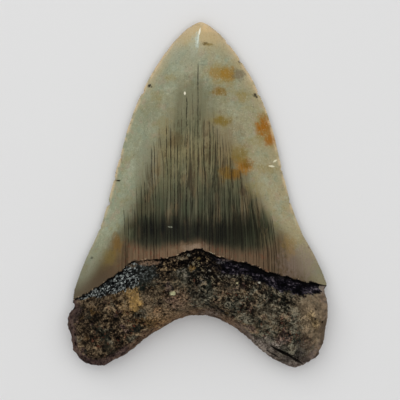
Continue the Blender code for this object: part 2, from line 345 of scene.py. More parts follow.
def root_heights(plan, u, b, inset, side):
    """Heights of the root, and how far its rounding has moved each point from the unrounded face."""
    across = (u + 1) / 2
    reach = np.linalg.norm(point_at(foot_curve[side], across) - point_at(base_curve, across), axis=1)
    below_foot = np.maximum(1 - b - STEP_SHARE, 0) * reach
    step = smooth_step(0.0, 1.0, (1 - b) / STEP_SHARE) * np.clip(inset / 1.5, 0.0, 1.0)
    edge = SHOULDER_HEIGHT + (ROOT_EDGE_HEIGHT - SHOULDER_HEIGHT) * smooth_step(0.0, EDGE_RUN, below_foot)
    opening = smooth_step(-1.5, EDGE_RUN, below_foot)
    x = plan[:, 0]
    if side == LINGUAL:
        at_foot = SHOULDER_HEIGHT + CROWN_DOME * lingual_dome(u) - ENAMEL_STEP * step
        swell = np.interp(x, *ridge_curve.T) - SWELL_DROP * smooth_step(*SWELL_DROP_SPAN, below_foot)
        swell = swell + LUMP_HEIGHT * lumps(plan, LUMP_LAYER[side])
        inner = at_foot + (swell - at_foot) * smooth_step(0.0, SWELL_RUN, below_foot)
        hole_x, hole_y, radius, depth = FORAMEN
        away = np.hypot(x - hole_x, plan[:, 1] - hole_y)
        hole = depth * (1 - smooth_step(0.2 * radius, 1.6 * radius, away))
        top = edge + (inner - edge) * rounded(inset / (LINGUAL_ROUNDING * opening))
        top = np.where(b == 1, SHOULDER_HEIGHT + CROWN_DOME * lingual_dome(u), top - hole)
        top = top + (edge + FLAKE_TOP * rounded(inset) - top) * flake(x, inset)
        return top, inner - top
    at_foot = edge - (SHOULDER_HEIGHT - LABIAL_FOOT_GAP) * (1 - u * u) + LABIAL_STEP * step
    hollow = LABIAL_HOLLOW * (1 - smooth_step(*HOLLOW_SPAN, np.abs(x))) - PRESSED_FLAT
    hollow = hollow + LABIAL_LUMP_SHARE * LUMP_HEIGHT * np.maximum(lumps(plan, LUMP_LAYER[side]), 0.0)
    inner = at_foot + (hollow - at_foot) * smooth_step(0.0, HOLLOW_RUN, below_foot)
    bottom = edge - (edge - inner) * rounded(inset / (LABIAL_ROUNDING * opening))
    return bottom, bottom - inner


class Cracks:
    """The cracks of one side: where each runs, how far up it reaches and how strong it is."""

    def __init__(self, span, spacing, seed, tops, core, band, lean, longest):
        even = np.linspace(*span, round((span[1] - span[0]) / spacing) + 1)
        spots = 7.3 * np.arange(len(even)) + 0.4
        shake, shade, short, reach = (noises(spots, seed + row, 0.5) for row in range(4))
        self.foot_x = even + 0.7 * spacing * shake
        self.strength = np.clip(0.5 + 1.1 * shade, 0.12, 1.0)
        self.top = np.interp(self.foot_x, *zip(*tops)) - 11.0 * np.maximum(short, -0.1)
        self.reaches_foot = smooth_step(-0.12, 0.12, reach)
        for x, top, strength in longest:
            index = np.abs(self.foot_x - x).argmin()
            self.foot_x[index], self.top[index], self.strength[index] = x, top, strength
        self.core, self.band, self.lean = list(zip(*core)), list(zip(*band)), list(zip(*lean))
        self.seed = seed

    def straightened(self, plan):
        """x, at the enamel's foot, of the fibre that runs through each point."""
        rise = plan[:, 1] - FIBRE_START_Y
        x = plan[:, 0].copy()
        for _ in range(4):
            x = plan[:, 0] - np.interp(x, *self.lean) * (0.25 * rise + 0.75 * rise * rise / LEAN_RISE)
        y = plan[:, 1]
        return x + (0.4 * noises(x / 3.4, y / 17.0, self.seed) + 0.2 * noises(x / 1.6, y / 6.0, self.seed))

    def near(self, fibre, y, above_foot):
        """Distance to each point's nearest crack, its strength there, and a phase that is whole on cracks."""
        right = np.clip(np.searchsorted(self.foot_x, fibre), 1, len(self.foot_x) - 1)
        gap = self.foot_x[right] - self.foot_x[right - 1]
        share = (fibre - self.foot_x[right - 1]) / gap
        index = np.where(share < 0.5, right - 1, right)
        fade = smooth_step(0.0, 5.0, self.top[index] - y)
        fade = fade * np.maximum(smooth_step(2.0, 6.0, above_foot), self.reaches_foot[index])
        return np.abs(fibre - self.foot_x[index]), self.strength[index] * fade, right - 1 + share


cracks = {LINGUAL: Cracks(**LINGUAL_CRACKS), LABIAL: Cracks(**LABIAL_CRACKS)}


def surface(u, v, side):
    """Everything that is known of points of one side, as a dictionary of arrays."""
    plan = plan_at(u, v, side)
    inset, _, _ = outline.nearest(plan)
    border = (np.abs(u) == 1) | (v == 0) | (v == 2)
    inset[border] = 0.0
    on_root = v < 1
    z, skirt = np.empty(len(u)), np.zeros(len(u))
    z[on_root], skirt[on_root] = root_heights(plan[on_root], u[on_root], v[on_root], inset[on_root], side)
    t = v[~on_root] - 1
    lowest_y = np.minimum(point_at(cutting_edge[-1], t)[:, 1], point_at(cutting_edge[1], t)[:, 1])
    z[~on_root] = crown_heights(u[~on_root], t, lowest_y, side)
    foot = foot_curve[side]
    above_foot = plan[:, 1] - np.interp(plan[:, 0], foot[:, 0], foot[:, 1])
    fibre = cracks[side].straightened(plan)
    crack, strength, phase = cracks[side].near(fibre, plan[:, 1], above_foot)
    strength = strength * (~on_root)
    core = np.interp(fibre, *cracks[side].core) - plan[:, 1]
    band = plan[:, 1] - np.interp(plan[:, 0], *cracks[side].band)
    return dict(
        place=np.column_stack([plan, z]), inset=inset, skirt=skirt, foot=above_foot, fibre=fibre, crack=crack,
        strength=strength, phase=phase, core=core, band=band, flaked=flake(plan[:, 0], 0.0 * inset),
    )


# ---- The mesh ----------------------------------------------------------------------------------------


class Skin:
    """A closed triangle mesh over both sides, which refine() makes fine where the relief needs it."""

    def __init__(self):
        columns = np.sin(np.linspace(-math.pi / 2, math.pi / 2, FIRST_COLUMNS + 1)) * 0.5
        columns = columns + np.linspace(-0.5, 0.5, FIRST_COLUMNS + 1)
        columns[0], columns[-1] = -1.0, 1.0
        root_rows = np.linspace(0.0, 1.0, FIRST_ROOT_ROWS + 1) ** 1.3 * (1 - STEP_SHARE)
        rows = np.concatenate([root_rows, 1 + np.linspace(0.0, 1.0, FIRST_CROWN_ROWS + 1)])
        wide, tall = len(columns), len(rows)
        grid_u, grid_v = np.meshgrid(columns, rows)
        inner = np.zeros((tall, wide), bool)
        inner[1:-1, 1:-1] = True
        lingual = np.arange(tall * wide).reshape(tall, wide)
        labial = lingual.copy()
        labial[inner] = tall * wide + np.arange(inner.sum())
        self.u = np.concatenate([grid_u.ravel(), grid_u[inner]])
        self.v = np.concatenate([grid_v.ravel(), grid_v[inner]])
        self.side = np.concatenate([np.where(inner, LINGUAL, OUTLINE).ravel(), np.full(inner.sum(), LABIAL)])
        triangles, sides = [], []
        for grid, side in ((lingual, LINGUAL), (labial, LABIAL)):
            corners = (grid[:-1, :-1], grid[:-1, 1:], grid[1:, 1:], grid[1:, :-1])
            a, b, c, d = (corner.ravel() for corner in corners)
            made = np.vstack([np.column_stack([a, b, c]), np.column_stack([a, c, d])])
            triangles.append(made if side == LINGUAL else made[:, ::-1])
            sides.append(np.full(len(made), side))
        self.triangles, self.of_side = np.vstack(triangles), np.concatenate(sides)
        self.known = {}
        self.measure(0)

    def measure(self, start):
        """Works out the surface's facts for the points from this one on."""
        u, v, side = self.u[start:], self.v[start:], self.side[start:]
        facts = {}
        for which in (LINGUAL, LABIAL):
            mine = (side == which) | ((side == OUTLINE) & (which == LINGUAL))
            for name, values in surface(u[mine], v[mine], which).items():
                facts.setdefault(name, np.empty((len(u), *values.shape[1:])))[mine] = values
        for name, values in facts.items():
            self.known[name] = np.concatenate([self.known[name][:start], values]) if start else values

    def wanted_size(self):
        """Longest edge wanted at each point."""
        known, lingual, crown = self.known, self.side != LABIAL, self.v >= 1
        foot = np.abs(known["foot"])
        plain, at_crack, at_foot, on_root = (
            np.where(lingual, upper, lower) for upper, lower in zip(EDGE_SIZES[LINGUAL], EDGE_SIZES[LABIAL])
        )
        size = np.minimum(plain, np.where(crown, CUTTING_EDGE_SIZE + 0.5 * known["inset"], np.inf))
        from_crack = np.where(known["strength"] > CRACKED, known["crack"], np.inf)
        size = np.minimum(size, at_crack + 0.55 * from_crack)
        size = np.minimum(size, at_foot + 0.6 * foot)
        from_seam = np.abs(known["inset"] - FLAKE_WIDTH) + np.where(known["flaked"] > 0, 0.0, 9.0)
        size = np.where(crown, size, np.minimum(size, on_root))
        return np.where(lingual, np.minimum(size, SEAM_SIZE + 0.4 * from_seam), size)

    def edges(self):
        """The mesh's edges as pairs of points, and for each triangle the numbers of its three edges."""
        pairs = np.stack([self.triangles, np.roll(self.triangles, -1, axis=1)], axis=-1).reshape(-1, 2)
        pairs.sort(axis=1)
        keys = pairs[:, 0] * len(self.u) + pairs[:, 1]
        _, first, number = np.unique(keys, return_index=True, return_inverse=True)
        return pairs[first], number.reshape(-1, 3)

    def split(self, ends, number, lengths, marked, share):
        """Splits the marked edges at these shares of their length, and the triangles beside them."""
        middle = np.full(len(ends), -1)
        middle[marked] = len(self.u) + np.arange(marked.sum())
        one, other = ends[marked].T
        sides = np.zeros((len(ends), 2), bool)
        for column, which in enumerate((LINGUAL, LABIAL)):
            sides[number[self.of_side == which].ravel(), column] = True
        side = np.where(sides.all(axis=1), OUTLINE, np.where(sides[:, 0], LINGUAL, LABIAL))[marked]
        start = len(self.u)
        self.u, self.v = (
            np.concatenate([values, values[one] + share[marked] * (values[other] - values[one])])
            for values in (self.u, self.v)
        )
        self.side = np.concatenate([self.side, side])
        self.measure(start)

        # Each triangle is turned so that its longest marked edge comes first, from corner a to corner b.
        rank = np.where(marked[number], lengths[number], -1.0)
        turn = rank.argmax(axis=1)
        order = (turn[:, None] + np.arange(3)) % 3
        corner = np.take_along_axis(self.triangles, order, axis=1)
        m = middle[np.take_along_axis(number, order, axis=1)]
        a, b, c = corner.T
        ab, bc, ca = m.T
        cut, right, left = ab >= 0, bc >= 0, ca >= 0
        whole = ~cut
        pieces = [
            (whole, (a, b, c)),
            (cut & ~left, (a, ab, c)),
            (cut & left, (a, ab, ca)),
            (cut & left, (ca, ab, c)),
            (cut & ~right, (ab, b, c)),
            (cut & right, (ab, b, bc)),
            (cut & right, (ab, bc, c)),
        ]
        self.triangles = np.vstack([np.column_stack(corners)[these] for these, corners in pieces])
        self.of_side = np.concatenate([self.of_side[these] for these, _ in pieces])

    def refine(self, rounds=14):
        for _ in range(rounds):
            ends, number = self.edges()
            one, other = ends.T
            place, known, size = self.known["place"], self.known, self.wanted_size()
            lengths = np.linalg.norm(place[one] - place[other], axis=1)
            # Faces beside a crack may be long as long as they lie along it.
            across = np.abs(known["fibre"][one] - known["fibre"][other])
            beside = known["strength"][ends].min(axis=1) * (known["inset"][ends].min(axis=1) > 1.5) > CRACKED
            lengths = np.where(beside, np.hypot(across, ALONG_CRACKS * lengths), lengths)
            marked = lengths > 1.3 * size[ends].min(axis=1)
            if not marked.any():
                break
            longest = np.take_along_axis(number, lengths[number].argmax(axis=1)[:, None], axis=1)[:, 0]
            while True:  # a triangle is only split across its longest edge
                more = longest[marked[number].any(axis=1) & ~marked[longest]]
                if not len(more):
                    break
                marked[more] = True
            self.split(ends, number, lengths, marked, np.full(len(ends), 0.5))

    def cut_along_cracks(self):
        """Puts points where the edges cross a crack, so that each crack runs along edges of the mesh."""
        ends, number = self.edges()
        phase, strength = self.known["phase"][ends], self.known["strength"][ends].max(axis=1)
        same_side = self.side[ends].min(axis=1) * self.side[ends].max(axis=1) > 0
        low, high = phase.min(axis=1), phase.max(axis=1)
        whole = np.floor(high)
        share = (whole - phase[:, 0]) / np.where(phase[:, 0] == phase[:, 1], 1, phase[:, 1] - phase[:, 0])
        crossed = (low < whole) & (whole < high) & (high - low < 0.9) & (strength > CRACKED) & same_side
        crossed &= (share > CUT_ZONE[0]) & (share < CUT_ZONE[1]) & (self.v[ends].min(axis=1) >= 1)
        lengths = np.linalg.norm(self.known["place"][ends[:, 0]] - self.known["place"][ends[:, 1]], axis=1)
        self.split(ends, number, lengths, crossed, share)


def point_normals(place, triangles):
    """Area-weighted normals of the points."""
    a, b, c = place[triangles.T]
    normals, faces = np.zeros_like(place), np.cross(b - a, c - a)
    for corner in range(3):
        for axis in range(3):
            normals[:, axis] += np.bincount(triangles[:, corner], faces[:, axis], len(place))
    return normals / np.maximum(np.linalg.norm(normals, axis=1), 1e-12)[:, None]


def serrate(skin, place):
    """Moves the cutting edges' points inwards, into serrations and chips."""
    near_edge = np.flatnonzero((skin.v >= 1) & (skin.known["inset"] < 1.2 * SERRATION_REACH))
    plan, inset = place[near_edge, :2], skin.known["inset"][near_edge]
    _, spot, outwards = outline.nearest(plan)
    for side in (-1, 1):
        curve = cutting_edge[side]
        lengths = lengths_along(curve)
        here = (spot[:, 0] > TIP_X) == (side > 0)
        index, y = near_edge[here], spot[here, 1]
        along = np.interp(y, curve[:, 1], lengths) / lengths[-1]
        beat = np.abs(np.cos(math.pi * SERRATIONS * along))
        wear, fine = noises(along * 23.0, 5.0 * side, 0.0), noises(along * 90.0, 9.0 * side, 3.0)
        depth = SERRATION_DEPTH * (1 - beat) * np.clip(0.85 + 0.9 * wear + 0.4 * fine, 0.2, 1.3)
        depth = depth + 0.10 * np.maximum(fine, 0) + 0.12 * np.maximum(wear, 0)
        for nick_side, nick_y, half_width, nick_depth in NICKS:
            if nick_side == side:
                depth = depth + nick_depth * np.exp(-(((y - nick_y) / half_width) ** 2))
        reach = SERRATION_REACH + depth
        fade = np.clip(1 - inset[here] / reach, 0.0, 1.0)
        inwards = depth * fade
        place[index, :2] -= outwards[here] * inwards[:, None]
        lift = np.where(skin.side[index] == LABIAL, 0.25, -0.45) * (skin.side[index] != OUTLINE)
        place[index, 2] += lift * depth * fade * np.clip(inset[here] / 0.25, 0, 1)


def roughen_root(skin, place, normal):
    """Pits, grains and cracks of the root's bone, all cut inwards, and the smoother bourlette."""
    on_root = np.flatnonzero(skin.v < 1)
    at, foot, side = place[on_root], skin.known["foot"][on_root], skin.side[on_root]
    bourlette = bourlette_share(at[:, 0], foot) * (side != LABIAL)
    broad = noise_at(at, 4.6, 11.0, 3)
    coarse = noise_at(at, 2.1, 23.0, 2)
    grain = noise_at(at, 0.95, 5.0)
    holes = np.array([noise.voronoi(Vector(point) / 1.9)[0][0] for point in at])
    few = smooth_step(-0.1, 0.5, noise_at(at, 7.0, 31.0))
    pits = (1 - smooth_step(0.12, 0.42, holes)) * (0.35 + 0.65 * few)
    bone = 0.34 * (0.75 - broad) + 0.30 * (0.7 - coarse) + 0.17 * (0.8 - grain) + 0.5 * pits
    left = smooth_step(2.0, -12.0, at[:, 0])
    smooth = 0.10 * (0.7 - coarse) + (0.05 + 0.20 * left) * (0.8 - grain) + 0.10 * (0.75 - broad)
    depth = bone + (smooth - bone) * smooth_step(0.25, 0.8, bourlette)
    depth = depth * smooth_step(0.0, 1.2, -foot) * np.where(side == LABIAL, 0.75, 1.0)
    place[on_root] -= normal[on_root] * depth[:, None]
    wander = 0.5 * noise_at(at[:, :1], 2.3, 41.0)
    run = np.interp(at[:, 0], *zip(*FLAKE_SEAM))
    from_seam = (skin.known["inset"][on_root] - run - wander) / SEAM_HALF_WIDTH
    seam = np.exp(-(from_seam ** 2)) * (side != LABIAL)
    seam = seam * skin.known["flaked"][on_root] * smooth_step(22.0, 28.0, at[:, 0])
    place[on_root, 2] -= SEAM_DEPTH * seam
    return pits, seam, depth


def bourlette_share(x, foot):
    """1 on the bourlette, 0 a width and a half below the enamel's foot, and straight between."""
    return np.clip(1.5 + foot / np.interp(x, *zip(*BOURLETTE_WIDTHS)), 0, 1)


def crack_enamel(skin, place):
    """Cuts the cracks, and gives the enamel the faint waves of its fibres."""
    on_crown = np.flatnonzero(skin.v > 1)
    known = {name: values[on_crown] for name, values in skin.known.items()}
    side = skin.side[on_crown]
    groove = CRACK_DEPTH * known["strength"] * np.exp(-((known["crack"] / CRACK_HALF_WIDTH) ** 2))
    inner = smooth_step(0.0, 2.5, known["inset"]) * smooth_step(0.0, 1.0, known["foot"])
    threads = 0.035 * noises(known["fibre"] / 1.1, known["place"][:, 1] / 26.0, 0.0)
    waves = 0.07 * noise_at(known["place"], 6.5, 3.0, 2) + threads * smooth_step(-4.0, 4.0, known["core"])
    dip = groove * (known["inset"] > 0.3) + (0.05 - waves) * inner
    place[on_crown, 2] -= dip * np.where(side == LABIAL, -1.0, 1.0) * (side != OUTLINE)


def ragged_foot(skin, place):
    """Shifts the points beside the enamel's foot, so that its line is ragged."""
    away, inset = np.abs(skin.known["foot"]), skin.known["inset"]
    near = np.flatnonzero((away < 2.4) & (inset > 0))
    x = place[near, :1]
    shift = noise_at(x, 2.6, 2.0) + 0.6 * noise_at(x, 0.9, 8.0)
    fade = (1 - smooth_step(0.2, 2.2, away[near])) * smooth_step(0.0, 2.0, inset[near])
    place[near, 1] += FOOT_RAGGEDNESS * shift * fade


def unrolled(skin):
    """UV coordinates for a bake: both sides laid flat, the root's edges unrolled outwards."""
    place = skin.known["place"]
    _, _, outwards = outline.nearest(place[:, :2])
    flat = place[:, :2] + outwards * skin.known["skirt"][:, None]
    corners = skin.triangles.ravel()
    labial = np.repeat(skin.of_side == LABIAL, 3)
    uv = flat[corners]
    # On the labial side, the root's outline is unrolled by its height.
    shared = labial & (skin.side[corners] == OUTLINE) & (skin.v[corners] < 1)
    uv[shared] = (place[:, :2] + outwards * place[:, 2:])[corners][shared]
    tip_down = np.column_stack([uv[:, 0] + UV_SHIFT[0], UV_SHIFT[1] - uv[:, 1]])
    uv = np.where(labial[:, None], tip_down, uv)
    low, high = uv.min(axis=0), uv.max(axis=0)
    return UV_MARGIN + (1 - 2 * UV_MARGIN) * (uv - low) / (high - low)


def make_tooth():
    skin = Skin()
    skin.refine()
    skin.cut_along_cracks()
    place = skin.known["place"].copy()
    normal = point_normals(place, skin.triangles)
    pits, seam, depth = roughen_root(skin, place, normal)
    crack_enamel(skin, place)
    ragged_foot(skin, place)
    serrate(skin, place)
    place[:, :2] -= MIDDLE
    low, high = np.array(cad_box[0]) / MM, np.array(cad_box[1]) / MM
    place = np.clip(place, low + BOX_GAP, high - BOX_GAP)

    mesh = bpy.data.meshes.new("fossil_tooth")
    mesh.from_pydata((place * MM).tolist(), [], skin.triangles.tolist())
    mesh.update()
    on_root = skin.v < 1
    known_facts = ("foot", "fibre", "crack", "strength", "core", "band", "inset")
    facts = {name: skin.known[name] for name in known_facts}
    for name, values in (("pits", pits), ("seam", seam), ("relief", depth)):
        facts[name] = np.zeros(len(place))
        facts[name][on_root] = values
    facts["lingual"] = skin.side != LABIAL
    facts["bourlette"] = bourlette_share(skin.known["place"][:, 0], facts["foot"]) * facts["lingual"]
    for name, values in facts.items():
        attribute = mesh.attributes.new(name, "FLOAT", "POINT")
        attribute.data.foreach_set("value", values.astype(np.float32))
    mesh.uv_layers.new(name="OFBake").data.foreach_set("uv", unrolled(skin).astype(np.float32).ravel())

    highest_v = skin.v[skin.triangles].max(axis=1)
    lowest_v = skin.v[skin.triangles].min(axis=1)
    on_enamel = (lowest_v >= 1 - STEP_SHARE - 1e-9) & (highest_v >= 1)
    slots = np.where(on_enamel, np.where(skin.of_side == LINGUAL, 0, 1), 2)
    mesh.materials.append(enamel("enamel_lingual", LINGUAL_STAINS_AND_HIGHLIGHT, 1.0))
    mesh.materials.append(enamel("enamel_labial", LABIAL_STAINS, LABIAL_CORE_STRENGTH))
    mesh.materials.append(root_bone())
    mesh.polygons.foreach_set("material_index", slots.astype(np.int32))
    mesh.shade_smooth()
    mesh.set_sharp_from_angle(angle=math.radians(SHARP_ANGLE))
    tooth = bpy.data.objects.new("fossil_tooth", mesh)
    bpy.context.scene.collection.objects.link(tooth)
    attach(tooth, "root")
    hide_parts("tooth")


# ---- Materials ---------------------------------------------------------------------------------------


def srgb(red, green, blue):
    """A colour given as 0 to 255 per channel, in the linear values that shaders use."""
    linear = [((c / 255 + 0.055) / 1.055) ** 2.4 if c > 10 else c / 255 / 12.92 for c in (red, green, blue)]
    return (*linear, 1.0)


class Value:
    """A number in a material's nodes. Sums and products with it make more nodes."""

    def __init__(self, paint, socket):
        self.paint, self.socket = paint, socket

    def __add__(self, other):
        return self.paint.math("ADD", self, other)

    def __sub__(self, other):
        return self.paint.math("SUBTRACT", self, other)

    def __rsub__(self, other):
        return self.paint.math("SUBTRACT", other, self)

    def __mul__(self, other):
        return self.paint.math("MULTIPLY", self, other)

    def __truediv__(self, other):
        return self.paint.math("DIVIDE", self, other)

    def __abs__(self):
        return self.paint.math("ABSOLUTE", self)

    __radd__, __rmul__ = __add__, __mul__


class Paint:
    """Short words for building a material's nodes. Lengths in the vectors are in millimetres."""

    def __init__(self, name):
        self.material = bpy.data.materials.new(name)
        self.material.use_nodes = True
        self.nodes, self.links = self.material.node_tree.nodes, self.material.node_tree.links
        self.shader = self.nodes["Principled BSDF"]
        metres = self.nodes.new("ShaderNodeTexCoord").outputs["Object"]
        scale = self.nodes.new("ShaderNodeVectorMath")
        scale.operation = "SCALE"
        self.links.new(metres, scale.inputs[0])
        scale.inputs["Scale"].default_value = 1 / MM
        self.place = scale.outputs[0]
        apart = self.nodes.new("ShaderNodeSeparateXYZ")
        self.links.new(self.place, apart.inputs[0])
        self.x, self.y, self.z = (Value(self, output) for output in apart.outputs)

    def put(self, value, socket):
        """Links the socket to the value, or sets it if the value is a constant."""
        if isinstance(value, Value):
            value = value.socket
        if isinstance(value, bpy.types.NodeSocket):
            self.links.new(value, socket)
        else:
            socket.default_value = value

    def math(self, operation, *values, clamp=False):
        node = self.nodes.new("ShaderNodeMath")
        node.operation, node.use_clamp = operation, clamp
        for value, socket in zip(values, node.inputs):
            self.put(value, socket)
        return Value(self, node.outputs[0])

    def step(self, value, low, high):
        """0 where the value is low, 1 where it is high, smooth between. Low may be the larger number."""
        node = self.nodes.new("ShaderNodeMapRange")
        node.interpolation_type = "SMOOTHSTEP"
        self.put(value, node.inputs["Value"])
        turned = low > high
        numbers = (min(low, high), max(low, high), turned, not turned)
        for socket, number in zip(("From Min", "From Max", "To Min", "To Max"), numbers):
            node.inputs[socket].default_value = float(number)
        return Value(self, node.outputs[0])

    def attribute(self, name):
        node = self.nodes.new("ShaderNodeAttribute")
        node.attribute_name = name
        return Value(self, node.outputs["Fac"])

    def vector(self, x, y, z):
        node = self.nodes.new("ShaderNodeCombineXYZ")
        for value, socket in zip((x, y, z), node.inputs):
            self.put(value, socket)
        return node.outputs[0]

    def noise(self, size, seed=0, detail=2, at=None, roughness=0.5, distortion=0):
        """Noise around 0.5, with features of about this size in mm."""
        node = self.nodes.new("ShaderNodeTexNoise")
        node.noise_dimensions = "4D"
        self.links.new(at or self.place, node.inputs["Vector"])
        numbers = (seed, 1 / size, detail, roughness, distortion)
        for socket, number in zip(("W", "Scale", "Detail", "Roughness", "Distortion"), numbers):
            node.inputs[socket].default_value = number
        return Value(self, node.outputs["Fac"])

    def mix(self, share, first, second):
        node = self.nodes.new("ShaderNodeMix")
        node.data_type = "RGBA"
        self.put(share, node.inputs["Factor"])
        colour_inputs = (socket for socket in node.inputs if socket.type == "RGBA")
        for colour, socket in zip((first, second), colour_inputs):
            self.put(colour, socket)
        return next(socket for socket in node.outputs if socket.type == "RGBA")

    def over(self, colour, shade, *amounts):
        """The shade laid over the colour, by the product of these amounts."""
        share = amounts[0]
        for amount in amounts[1:]:
            share = share * amount
        return self.mix(share, colour, shade)

    def ramp(self, value, *stops):
        """Colours at these values, with straight blends between them."""
        node = self.nodes.new("ShaderNodeValToRGB")
        elements = node.color_ramp.elements
        while len(elements) < len(stops):
            elements.new(1.0)
        for element, (position, colour) in zip(elements, stops):
            element.position, element.color = position, colour
        self.put(value, node.inputs[0])
        return node.outputs[0]

    def blob(self, centre, radii, raggedness=0.5, size=2.2, seed=0, softness=0.35):
        """1 inside an ellipse in plan, with a ragged soft border, and 0 outside it."""
        dx = (self.x - (centre[0] - MIDDLE[0])) / radii[0]
        dy = (self.y - (centre[1] - MIDDLE[1])) / radii[1]
        away = self.math("SQRT", dx * dx + dy * dy)
        shaken = self.noise(size, seed, 4, roughness=0.6) * (2 * raggedness) + away
        return self.step(shaken - raggedness, 0.8 + softness, 0.8 - softness)

    def stroke(self, start, end, half_width, seed=0):
        """1 on a ragged line between two points in plan that thins out towards both, and 0 off it."""
        length = math.dist(start, end)
        dx, dy = self.x - (start[0] - MIDDLE[0]), self.y - (start[1] - MIDDLE[1])
        east, north = (end[0] - start[0]) / length, (end[1] - start[1]) / length
        along = (dx * east + dy * north) / length
        off = (self.noise(1.2, seed, 3) * 0.5 + abs(dy * east - dx * north)) / half_width
        swell = along * 4 * (1 - along)
        return self.step(swell - off, -0.25 / half_width, 0.4 - 0.25 / half_width)

    def bump(self, height, distance, strength=1.0, after=None):
        node = self.nodes.new("ShaderNodeBump")
        node.inputs["Strength"].default_value = strength
        node.inputs["Distance"].default_value = distance * MM
        self.put(height, node.inputs["Height"])
        if after is not None:
            self.links.new(after, node.inputs["Normal"])
        return node.outputs[0]


# ---- Enamel ------------------------------------------------------------------------------------------

# Faint patches in the enamel: colour, size in mm and strength.
MOTTLES = [
    (srgb(168, 172, 150), 5, 0.5), (srgb(126, 146, 128), 4, 0.4), (srgb(142, 132, 84), 3, 0.4),
    (srgb(164, 138, 118), 2.6, 0.35), (srgb(118, 114, 88), 1, 0.3), (srgb(176, 176, 150), 0.8, 0.25),
]

YELLOW, OCHRE, AMBER, ORANGE = srgb(142, 126, 76), srgb(118, 98, 38), srgb(148, 112, 42), srgb(150, 96, 26)
RUST, GREY, CREAM, INK = srgb(82, 62, 20), srgb(134, 122, 96), srgb(220, 214, 184), srgb(30, 26, 20)
HALO_STRENGTH = {AMBER: 0.75, ORANGE: 0.75, RUST: 0.45, OCHRE: 0.45}

# Stains of the upper side's enamel, and a painted highlight below the tip: x, y, half width, half height,
# colour and strength.
LINGUAL_STAINS_AND_HIGHLIGHT = [
    (-0.8, 35, 6.5, 7, srgb(98, 98, 75), 0.5), (1.5, 33, 12, 9, srgb(112, 108, 80), 0.4),
    (-18.5, 12, 4, 9, srgb(128, 128, 106), 0.55), (11, 19, 6, 9, srgb(112, 94, 66), 0.45),
    (-16.5, 28, 4, 5, srgb(120, 118, 92), 0.4), (-19, -5, 4, 2.6, srgb(84, 76, 54), 0.5),
    (-3.5, -19.2, 4.5, 2, srgb(122, 98, 74), 0.55), (-0.7, -18.8, 3.6, 1.6, srgb(146, 126, 106), 0.65),
    (-25.6, -14, 2.5, 3, srgb(98, 100, 78), 0.5), (24.2, -16.6, 3, 3, srgb(108, 96, 70), 0.35),
    (17.4, 8, 3, 4, srgb(102, 86, 60), 0.4), (36, -24, 6, 6, srgb(130, 114, 104), 0.55),
    # The first two entries of this line are a painted highlight on the ridge below the tip.
    (-0.9, 53, 1.6, 3.6, srgb(172, 180, 160), 0.5), (0, 54.4, 0.6, 3.2, srgb(190, 204, 192), 0.7),
    (-3, 48.4, 6, 4, srgb(146, 146, 124), 0.5), (-9, 51, 3, 4, srgb(170, 172, 150), 0.35),
    (5, 55.6, 3.6, 3, srgb(190, 166, 120), 0.5), (4.6, 59.6, 2.6, 1.8, srgb(216, 186, 138), 0.8),
    (7, 43, 2.2, 2.4, AMBER, 0.7), (10.9, 42.6, 2.4, 2.6, AMBER, 0.95),
    (7.9, 36.3, 2.2, 1.8, srgb(126, 98, 40), 0.9), (16.2, 34.6, 2.2, 2.4, YELLOW, 0.8),
    (8.8, 26, 2.6, 1.6, OCHRE, 0.9), (24.6, 24, 3.2, 3.8, ORANGE, 1), (26.4, 20, 2.2, 2.8, ORANGE, 0.9),
    (16.6, 10.4, 2.8, 2.7, srgb(152, 104, 30), 1), (17.2, 10.8, 1.8, 1.6, srgb(106, 72, 14), 0.8),
    (14, 12.4, 2.2, 1.8, srgb(112, 86, 36), 0.7), (15.6, 14.4, 2.6, 2.6, OCHRE, 0.7),
    (13.4, 7.2, 2.6, 1.9, srgb(122, 86, 24), 0.95), (10.2, 7.4, 2.2, 2.6, srgb(116, 88, 34), 0.9),
    (-7.4, 18.8, 2.6, 2.8, srgb(88, 72, 40), 0.6), (24.6, 9, 4.6, 1.6, YELLOW, 0.55),
    (-9.6, 41.3, 1.8, 1.2, YELLOW, 0.5), (-14.3, 34.7, 2.2, 2, YELLOW, 0.4),
    (-12, 24, 2.4, 3.6, YELLOW, 0.35), (-28.4, -17.2, 1.8, 3.2, srgb(118, 90, 44), 0.7),
    (-31, -22, 2.4, 2.6, OCHRE, 0.3), (14.9, 42.4, 2, 1.9, srgb(98, 88, 66), 0.8),
    (15.1, 42.6, 1.4, 1.4, GREY, 0.9), (3, 53.4, 0.8, 0.6, RUST, 0.9), (4.4, 53.2, 1.2, 0.4, OCHRE, 0.7),
    (16.2, 1, 1.6, 2, srgb(62, 46, 32), 0.6), (-16.9, 38.7, 0.7, 0.6, INK, 0.95),
    (-16.2, 38.2, 0.4, 0.3, INK, 0.8), (20.6, 35.4, 0.6, 0.7, INK, 0.95), (21.2, 34.6, 0.5, 0.4, INK, 0.9),
    (15, 47.2, 0.3, 0.4, INK, 0.7), (1.6, 45.8, 1.3, 0.2, INK, 0.4), (-27, 12.4, 0.3, 0.8, INK, 0.8),
    (-28.4, 4.9, 1.1, 0.3, INK, 1), (30.4, 8.4, 0.3, 1, INK, 0.8), (31.2, 5.6, 0.6, 0.3, INK, 0.9),
    (0, 60.3, 0.9, 0.2, RUST, 0.5), (33, -18, 2.2, 4, srgb(140, 112, 62), 0.5),
    (21, 2, 3.4, 2.6, YELLOW, 0.4), (6, 0, 4, 7, srgb(46, 48, 36), 0.35),
    (16.4, -8.4, 3.4, 2, srgb(34, 34, 25), 0.55), (-37.4, -22.6, 0.4, 0.4, INK, 0.7),
]
# Stains of the lower side's enamel in the same way.
LABIAL_STAINS = [
    (-12, 20, 5, 6, ORANGE, 0.5), (14, -4, 6, 5, OCHRE, 0.5), (4, 38, 3, 4, ORANGE, 0.5),
    (-20, -14, 4, 7, OCHRE, 0.5), (22, 12, 3, 4, RUST, 0.4),
]
LABIAL_CORE_STRENGTH = 0.5
